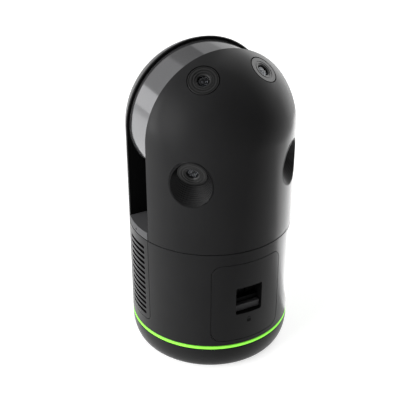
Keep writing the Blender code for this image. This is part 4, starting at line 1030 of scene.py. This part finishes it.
def bezel(name, place):
    """Satin disc with lathe rings and shallow steps."""
    outline = mm((2.7, -1.6), (6.8, -1.6), (6.8, -0.12), (6.68, 0), (4.75, 0), (4.65, -0.16), (4.3, -0.16),
                 (4.2, 0), (3.7, 0), (3.55, -0.22), (3.1, -0.3), (2.7, -0.75))
    look = lens_ring_look(f"{name}_rings", place, DISC_PITCH, *DISC_PAINTED_SHADES)
    return shade(turned(name, outline, look, 96, place), 25)


def lens(name, place):
    """Glass dome over a stepped black iris, one mesh with two finishes."""
    top = lens_arc(2.4, -1.0, 0.4, range(0, 91, 9))
    under = lens_arc(2.3, -1.3, 0.36, range(90, -1, -9))
    top[-1], under[0] = (0.0, -0.6), (0.0, -0.94)
    made = turned(name, mm(*top, *under), None, 64, place)
    made.data.materials.append(lens_glass)
    made.data.materials.append(lens_ring_look(f"{name}_iris", place, IRIS_PITCH, *IRIS_PAINTED_SHADES))
    steps = mm((0, -1.6), (2.35, -1.6), (2.35, -1.32), (1.9, -1.34), (1.7, -1.46), (1.3, -1.46),
               (1.2, -1.54), (0.9, -1.54), (0.6, -1.45), (0, -1.4))
    iris = turned("iris", steps, None, 64, place)
    bm = bmesh.new()
    bm.from_mesh(made.data)
    bm.from_mesh(iris.data)
    glass_faces = len(made.data.polygons)
    bm.faces.ensure_lookup_table()
    for face in bm.faces[glass_faces:]:
        face.material_index = 1
    bm.to_mesh(made.data)
    bm.free()
    bpy.data.objects.remove(iris, do_unlink=True)
    return shade(made, 30)


# %% [markdown]
# ## The ribbed cups
#
# A cup joins two rims: the tilted circle round the lens and a larger upright mouth in the body's
# surface, a little narrower above its middle, like an egg. Ten fine ribs follow its lower wall.
# That is a rule, so Geometry Nodes can build the whole cup: a flat grid is bent so that one
# direction runs round and the other runs from the lens to the mouth and back outside, and a saw
# wave adds the ribs where the wall faces up.

# %% Cup tree
def vsum(tree, *vectors):
    """Sum of several vectors."""
    total = vectors[0]
    for vector in vectors[1:]:
        total = vmath(tree, "ADD", total, vector)
    return total


cup_tree, given, result = new_group(
    "ribbed_cup",
    [("Blank", GEOMETRY, None), ("Out", VECTOR, (1.0, 0.0, 0.0)), ("Lens Centre", VECTOR, (0.0, 0.0, 0.0)),
     ("Mouth Centre", VECTOR, (0.0, 0.0, 0.0)), ("Tilt", NUMBER, 0.35), ("Lens Radius", NUMBER, 0.007),
     ("Mouth Radius", NUMBER, 0.01), ("Ribs", NUMBER, 10.0), ("Rib Depth", NUMBER, 0.0003),
     ("Wall", NUMBER, 0.001), ("Throat", NUMBER, 0.002), ("Egg", NUMBER, 0.2), ("Finish", LOOK, None)],
    [("Cup", GEOMETRY)], "GeometryNodeTree")
grid = add(cup_tree, "GeometryNodeMeshGrid", {
    "Size X": 1.0, "Size Y": 1.0, "Vertices X": 97, "Vertices Y": 121})
spot = add(cup_tree, "ShaderNodeSeparateXYZ", {0: add(cup_tree, "GeometryNodeInputPosition").outputs[0]})
turn = calc(cup_tree, "MULTIPLY", calc(cup_tree, "ADD", spot.outputs["X"], 0.5), math.tau)
path = calc(cup_tree, "ADD", spot.outputs["Y"], 0.5)
there_back = calc(cup_tree, "MULTIPLY", calc(cup_tree, "PINGPONG", path, 0.5), 2.0)
along = calc(cup_tree, "MULTIPLY_ADD", there_back, 1.5, -0.25)
share = calc(cup_tree, "MAXIMUM", along, 0.0)
behind = calc(cup_tree, "MULTIPLY", calc(cup_tree, "MINIMUM", along, 0.0), 4.0)
outside = calc(cup_tree, "GREATER_THAN", path, 0.5001)
closing = calc(cup_tree, "LESS_THAN", path, 0.9999)
cos, sin = calc(cup_tree, "COSINE", turn), calc(cup_tree, "SINE", turn)
facing = calc(cup_tree, "MULTIPLY_ADD", sin, -0.75, 0.25)
facing = add(cup_tree, "ShaderNodeClamp", {0: facing}).outputs[0]
saw = calc(cup_tree, "PINGPONG", calc(cup_tree, "MULTIPLY", share, given["Ribs"]), 0.5)
rib = calc(cup_tree, "MULTIPLY", calc(cup_tree, "MULTIPLY", saw, 2.0), given["Rib Depth"])
beyond_lens = calc(cup_tree, "GREATER_THAN", share, 0.0)
rib = calc(cup_tree, "MULTIPLY", calc(cup_tree, "MULTIPLY", rib, facing), beyond_lens)
thick = calc(cup_tree, "MULTIPLY", given["Wall"], calc(cup_tree, "MULTIPLY", outside, closing))
thin_out = calc(cup_tree, "MULTIPLY_ADD", calc(cup_tree, "MINIMUM", share, 1.0), -0.667, 1.0)
thick = calc(cup_tree, "MULTIPLY", thick, thin_out)
inward = calc(cup_tree, "MULTIPLY", rib, calc(cup_tree, "SUBTRACT", 1.0, outside))
grow = calc(cup_tree, "ADD", thick, inward)
rise = (0.0, 0.0, 1.0)
across = vmath(cup_tree, "CROSS_PRODUCT", rise, given["Out"])
tilt_cos, tilt_sin = calc(cup_tree, "COSINE", given["Tilt"]), calc(cup_tree, "SINE", given["Tilt"])
lean = vsum(cup_tree, vmath(cup_tree, "SCALE", given["Out"], scale=tilt_sin),
            vmath(cup_tree, "SCALE", rise, scale=tilt_cos))
look_way = vmath(cup_tree, "CROSS_PRODUCT", across, lean)
side_part = vmath(cup_tree, "SCALE", across, scale=cos)
lens_dir = vsum(cup_tree, side_part, vmath(cup_tree, "SCALE", lean, scale=sin))
narrow = calc(cup_tree, "SUBTRACT", 1.0, calc(cup_tree, "MULTIPLY", given["Egg"], sin))
mouth_dir = vsum(cup_tree, vmath(cup_tree, "SCALE", side_part, scale=narrow),
                 vmath(cup_tree, "SCALE", rise, scale=sin))
backed = vmath(cup_tree, "SCALE", look_way, scale=calc(cup_tree, "MULTIPLY", behind, given["Throat"]))
lens_rim = vsum(cup_tree, given["Lens Centre"], backed, vmath(
    cup_tree, "SCALE", lens_dir, scale=calc(cup_tree, "ADD", given["Lens Radius"], grow)))
mouth_rim = vsum(cup_tree, given["Mouth Centre"], vmath(
    cup_tree, "SCALE", mouth_dir, scale=calc(cup_tree, "ADD", given["Mouth Radius"], grow)))
reach = vmath(cup_tree, "SCALE", vmath(cup_tree, "SUBTRACT", mouth_rim, lens_rim), scale=share)
bent = add(cup_tree, "GeometryNodeSetPosition", {"Geometry": grid.outputs["Mesh"],
                                                 "Position": vsum(cup_tree, lens_rim, reach)})
closed = add(cup_tree, "GeometryNodeMergeByDistance", {"Geometry": bent.outputs[0], "Distance": 0.000005})
whole = add(cup_tree, "GeometryNodeRealizeInstances", {0: closed.outputs[0]})
painted = add(cup_tree, "GeometryNodeSetMaterial", {
    "Geometry": whole.outputs[0], "Material": given["Finish"]})
cup_tree.links.new(painted.outputs[0], result[0])
print("ribbed_cup has", len(cup_tree.nodes), "nodes")

# %% Cup pieces
SIDE_TILT, SIDE_AZ = math.radians(20.0), math.radians(40.9)
LENS_HOLE_R = 7.1 * MM
EGG = 0.2                          # how much narrower the mouth is above its middle


def cup_facts(side):
    """The outward way, the lens centre and the mouth centre of one cup."""
    out = Vector((math.cos(side * SIDE_AZ), math.sin(side * SIDE_AZ), 0.0))
    return out, out * 37 * MM + Vector((0, 0, 105.2 * MM)), out * BODY_R + Vector((0, 0, 101.5 * MM))


def cup(name, side):
    """Ribbed cup, trimmed flush with the body."""
    out, lens_centre, mouth_centre = cup_facts(side)
    mesh = bpy.data.meshes.new(name)
    made = bpy.data.objects.new(name, mesh)
    bpy.context.scene.collection.objects.link(made)
    ribs = made.modifiers.new("ribs", "NODES")
    ribs.node_group = cup_tree
    set_inputs(ribs, {
        "Out": out, "Lens Centre": lens_centre, "Mouth Centre": mouth_centre, "Tilt": SIDE_TILT,
        "Lens Radius": LENS_HOLE_R, "Mouth Radius": CUP_MOUTH_R, "Ribs": 10.0, "Rib Depth": 0.4 * MM,
        "Wall": 1.2 * MM, "Throat": 2.2 * MM, "Egg": EGG, "Finish": cup_black})
    settle(made)
    bm = bmesh.new()
    bm.from_mesh(made.data)
    bmesh.ops.recalc_face_normals(bm, faces=bm.faces)
    bm.to_mesh(made.data)
    bm.free()
    return shade(one_finish(carve(made, capsule_solid(BODY_R), "INTERSECT"), cup_black), 25)


# How far a ring lies from the lens to the mouth, its wall and its depth behind the lens, in mm
ROOM_RINGS = ((0, 1.5, 8.2), (0, 1.5, 0), (1, 0.48, 0), (1.4, 0.48, 0))


def cup_room(side):
    """Tool that opens the hood for a cup, a little larger than the cup's outside."""
    out, lens_centre, mouth_centre = cup_facts(side)
    rise = Vector((0, 0, 1))
    across = rise.cross(out)
    lean = out * math.sin(SIDE_TILT) + rise * math.cos(SIDE_TILT)
    look_way = across.cross(lean)
    rings = []
    for share, wall, back in ROOM_RINGS:
        ring = []
        for index in range(96):
            cos, sin = math.cos(math.tau * index / 96), math.sin(math.tau * index / 96)
            lens_way, mouth_way = across * cos + lean * sin, across * cos * (1 - EGG * sin) + rise * sin
            inner = lens_centre - look_way * back * MM + lens_way * (LENS_HOLE_R + wall * MM)
            outer = mouth_centre + mouth_way * (CUP_MOUTH_R + wall * MM)
            ring.append(inner.lerp(outer, share))
        rings.append(ring)
    return skin("cup_room", rings)


# %% Fit the cameras
DOME_AZ, DOME_EL = math.radians(35.8), math.radians(49.2)
DISC_R = 39.365 * MM               # distance of an upper disc's face from the dome's centre
for suffix, side in (("left", -1), ("right", 1)):
    upper = lens_place(side * DOME_AZ, DOME_EL, (0.0, 0.0, DOME_Z)) @ Matrix.Translation((0, 0, DISC_R))
    hole = mm((0, -4), (7.2, -4), (7.2, 2), (0, 2))
    # The wall of the hole round the disc gets black painted shade.
    carve(front_hood, turned("dome_hole", hole, None, 96, upper), painted_shade=black_and_painted_shade)
    hand_over(bezel(f"upper_ring_{suffix}", upper), "head", "lens_grey", f"dome_bezel_{suffix}")
    hand_over(lens(f"upper_glass_{suffix}", upper), "head", "lens_glass", f"dome_lens_{suffix}")
    lower = lens_place(side * SIDE_AZ, -SIDE_TILT, cup_facts(side)[1])
    # The hood's faces round the cup get black painted shade.
    carve(front_hood, cup_room(side), painted_shade=black_and_painted_shade)
    hand_over(cup(f"ribbed_cup_{suffix}", side), "head", "black_plastic", f"lens_cup_{suffix}")
    hand_over(bezel(f"lower_ring_{suffix}", lower), "head", "lens_grey", f"side_bezel_{suffix}")
    hand_over(lens(f"lower_glass_{suffix}", lower), "head", "lens_glass", f"side_lens_{suffix}")
hand_over(shade(front_hood), "head", "charcoal_shell", "camera_hood")

# %% [markdown]
# ## The mirror drum
#
# The drum is half a disc above the spin axis and a round bar below it. Eight cells lighten it, and
# an elbow lets the laser in from the side and out downwards past a mirror at 45 degrees. A real
# drum is moulded in one piece, so its outer edges get a generous round before any cells are cut.
# Its rim is polished, and it mirrors the black cheek beside it: the wide black band along the
# slot in the photograph is partly that mirror image, so the gap itself is narrower than it looks.

# %% Drum
blank = [(0, -DRUM_BLANK), (DRUM_R, -DRUM_BLANK), (DRUM_R, DRUM_BLANK), (0, DRUM_BLANK)]
drum = turned("mirror_drum", blank, drum_gloss, AROUND, SPINDLE)
front = arc(DRUM_HALF, 180, 360, 48, 0.0, DOME_Z) + [(DRUM_HALF, 160 * MM), (-DRUM_HALF, 160 * MM)]
carve(drum, plate("drum_front", front, "Y", -BODY_R, BODY_R), "INTERSECT")
soften(drum, 0.25 * MM, 3, 50)
CELLS, CELL_OUT, CELL_IN = 8, 33.6, 15            # cells over the half disc, and their radii in mm
CELL_SPAN = 180 / CELLS
outer_trim, inner_trim = math.degrees(1 / CELL_OUT), math.degrees(1 / CELL_IN)
for index in range(CELLS):
    start, end = CELL_SPAN * index, CELL_SPAN * (index + 1)
    cell = arc(CELL_OUT * MM, start + outer_trim, end - outer_trim, 8, 0.0, DOME_Z)
    cell += arc(CELL_IN * MM, end - inner_trim, start + inner_trim, 4, 0.0, DOME_Z)
    carve(drum, plate("cell", cell, "X", -7 * MM, BODY_R))

# %% Elbow and mirror
MIRROR = Matrix.Translation((0.0, 0.0, DOME_Z)) @ Matrix.Rotation(math.radians(-45), 4, "Y")


def mirror_slab(name, low, high, look=None):
    """Slab parallel to the mirror, between two depths behind its face."""
    slab = plate(name, box_outline(-BODY_R, BODY_R, -BODY_R, BODY_R), "Z", low, high, look)
    slab.data.transform(MIRROR)
    return slab


elbow = turned("beam_down", mm((0, 0), (8.8, 0), (8.8, 123.8), (0, 123.8)), None, 96)
beam_across = turned("beam_across", mm((0, -8.8), (8.8, -8.8), (8.8, 40), (0, 40)), None, 92, SPINDLE)
carve(elbow, beam_across, "UNION")
carve(elbow, mirror_slab("behind", 1.8 * MM, BODY_R))
carve(drum, elbow)
carve(drum, turned("socket", mm((0, -40), (3.3, -40), (3.3, -7), (0, -7)), None, 48, SPINDLE))
hand_over(shade(drum, 28), "rotor", "drum_gloss", "rotor_drum")

mirror = mirror_slab("beam_mirror", 0.0, 1.5 * MM, mirror_face)
carve(mirror, turned("trim_z", mm((0, 0), (8.5, 0), (8.5, 200), (0, 200)), None, 96), "INTERSECT")
across = mm((0, -40), (8.5, -40), (8.5, 40), (0, 40))
carve(mirror, turned("trim_x", across, None, 92, SPINDLE), "INTERSECT")
hand_over(shade(mirror), "rotor", "mirror_face", "scan_mirror")

# %% [markdown]
# ## The pieces inside
#
# What sits inside is already right in shape, so those nodes stay and only get a finish. They show
# through the vent slots, in the empty battery bay and down the beam's path.

# %% Finishes for the pieces inside
inside = {
    aluminium: ("head_floor", "battery_bay", "chassis_frame", "switch_bracket", "upper_deck",
                "laser_bracket", "motor_bracket", "motor_housing"),
    steel: ("pan_bearing", "pan_magnet_ring", "spindle_bearing", "motor_magnet", "rotor_shaft"),
    winding: ("pan_stator", "motor_stator"),
    board_green: ("main_board", "laser_board"),
    lens_glass: ("laser_window", "encoder_disc"),
    iris_black: ("laser_unit", "battery_contacts", "dome_camera_left", "dome_camera_right",
                 "side_camera_left", "side_camera_right"),
    pack_dark: ("battery_pack",),
    sink_black: ("heat_sink_front", "heat_sink_rear"),
}
for look, names in inside.items():
    for name in names:
        cad_nodes[name].data.materials[0] = look
print("finished", sum(len(names) for names in inside.values()), "inner pieces")

# %% [markdown]
# ## The finished size
#
# The finer model must fill the same box as the plain one, so its box is printed here.

# %% Print the size of the finished model
low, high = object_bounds()
print("visual box in mm:", [round(1000 * value, 1) for value in high - low])
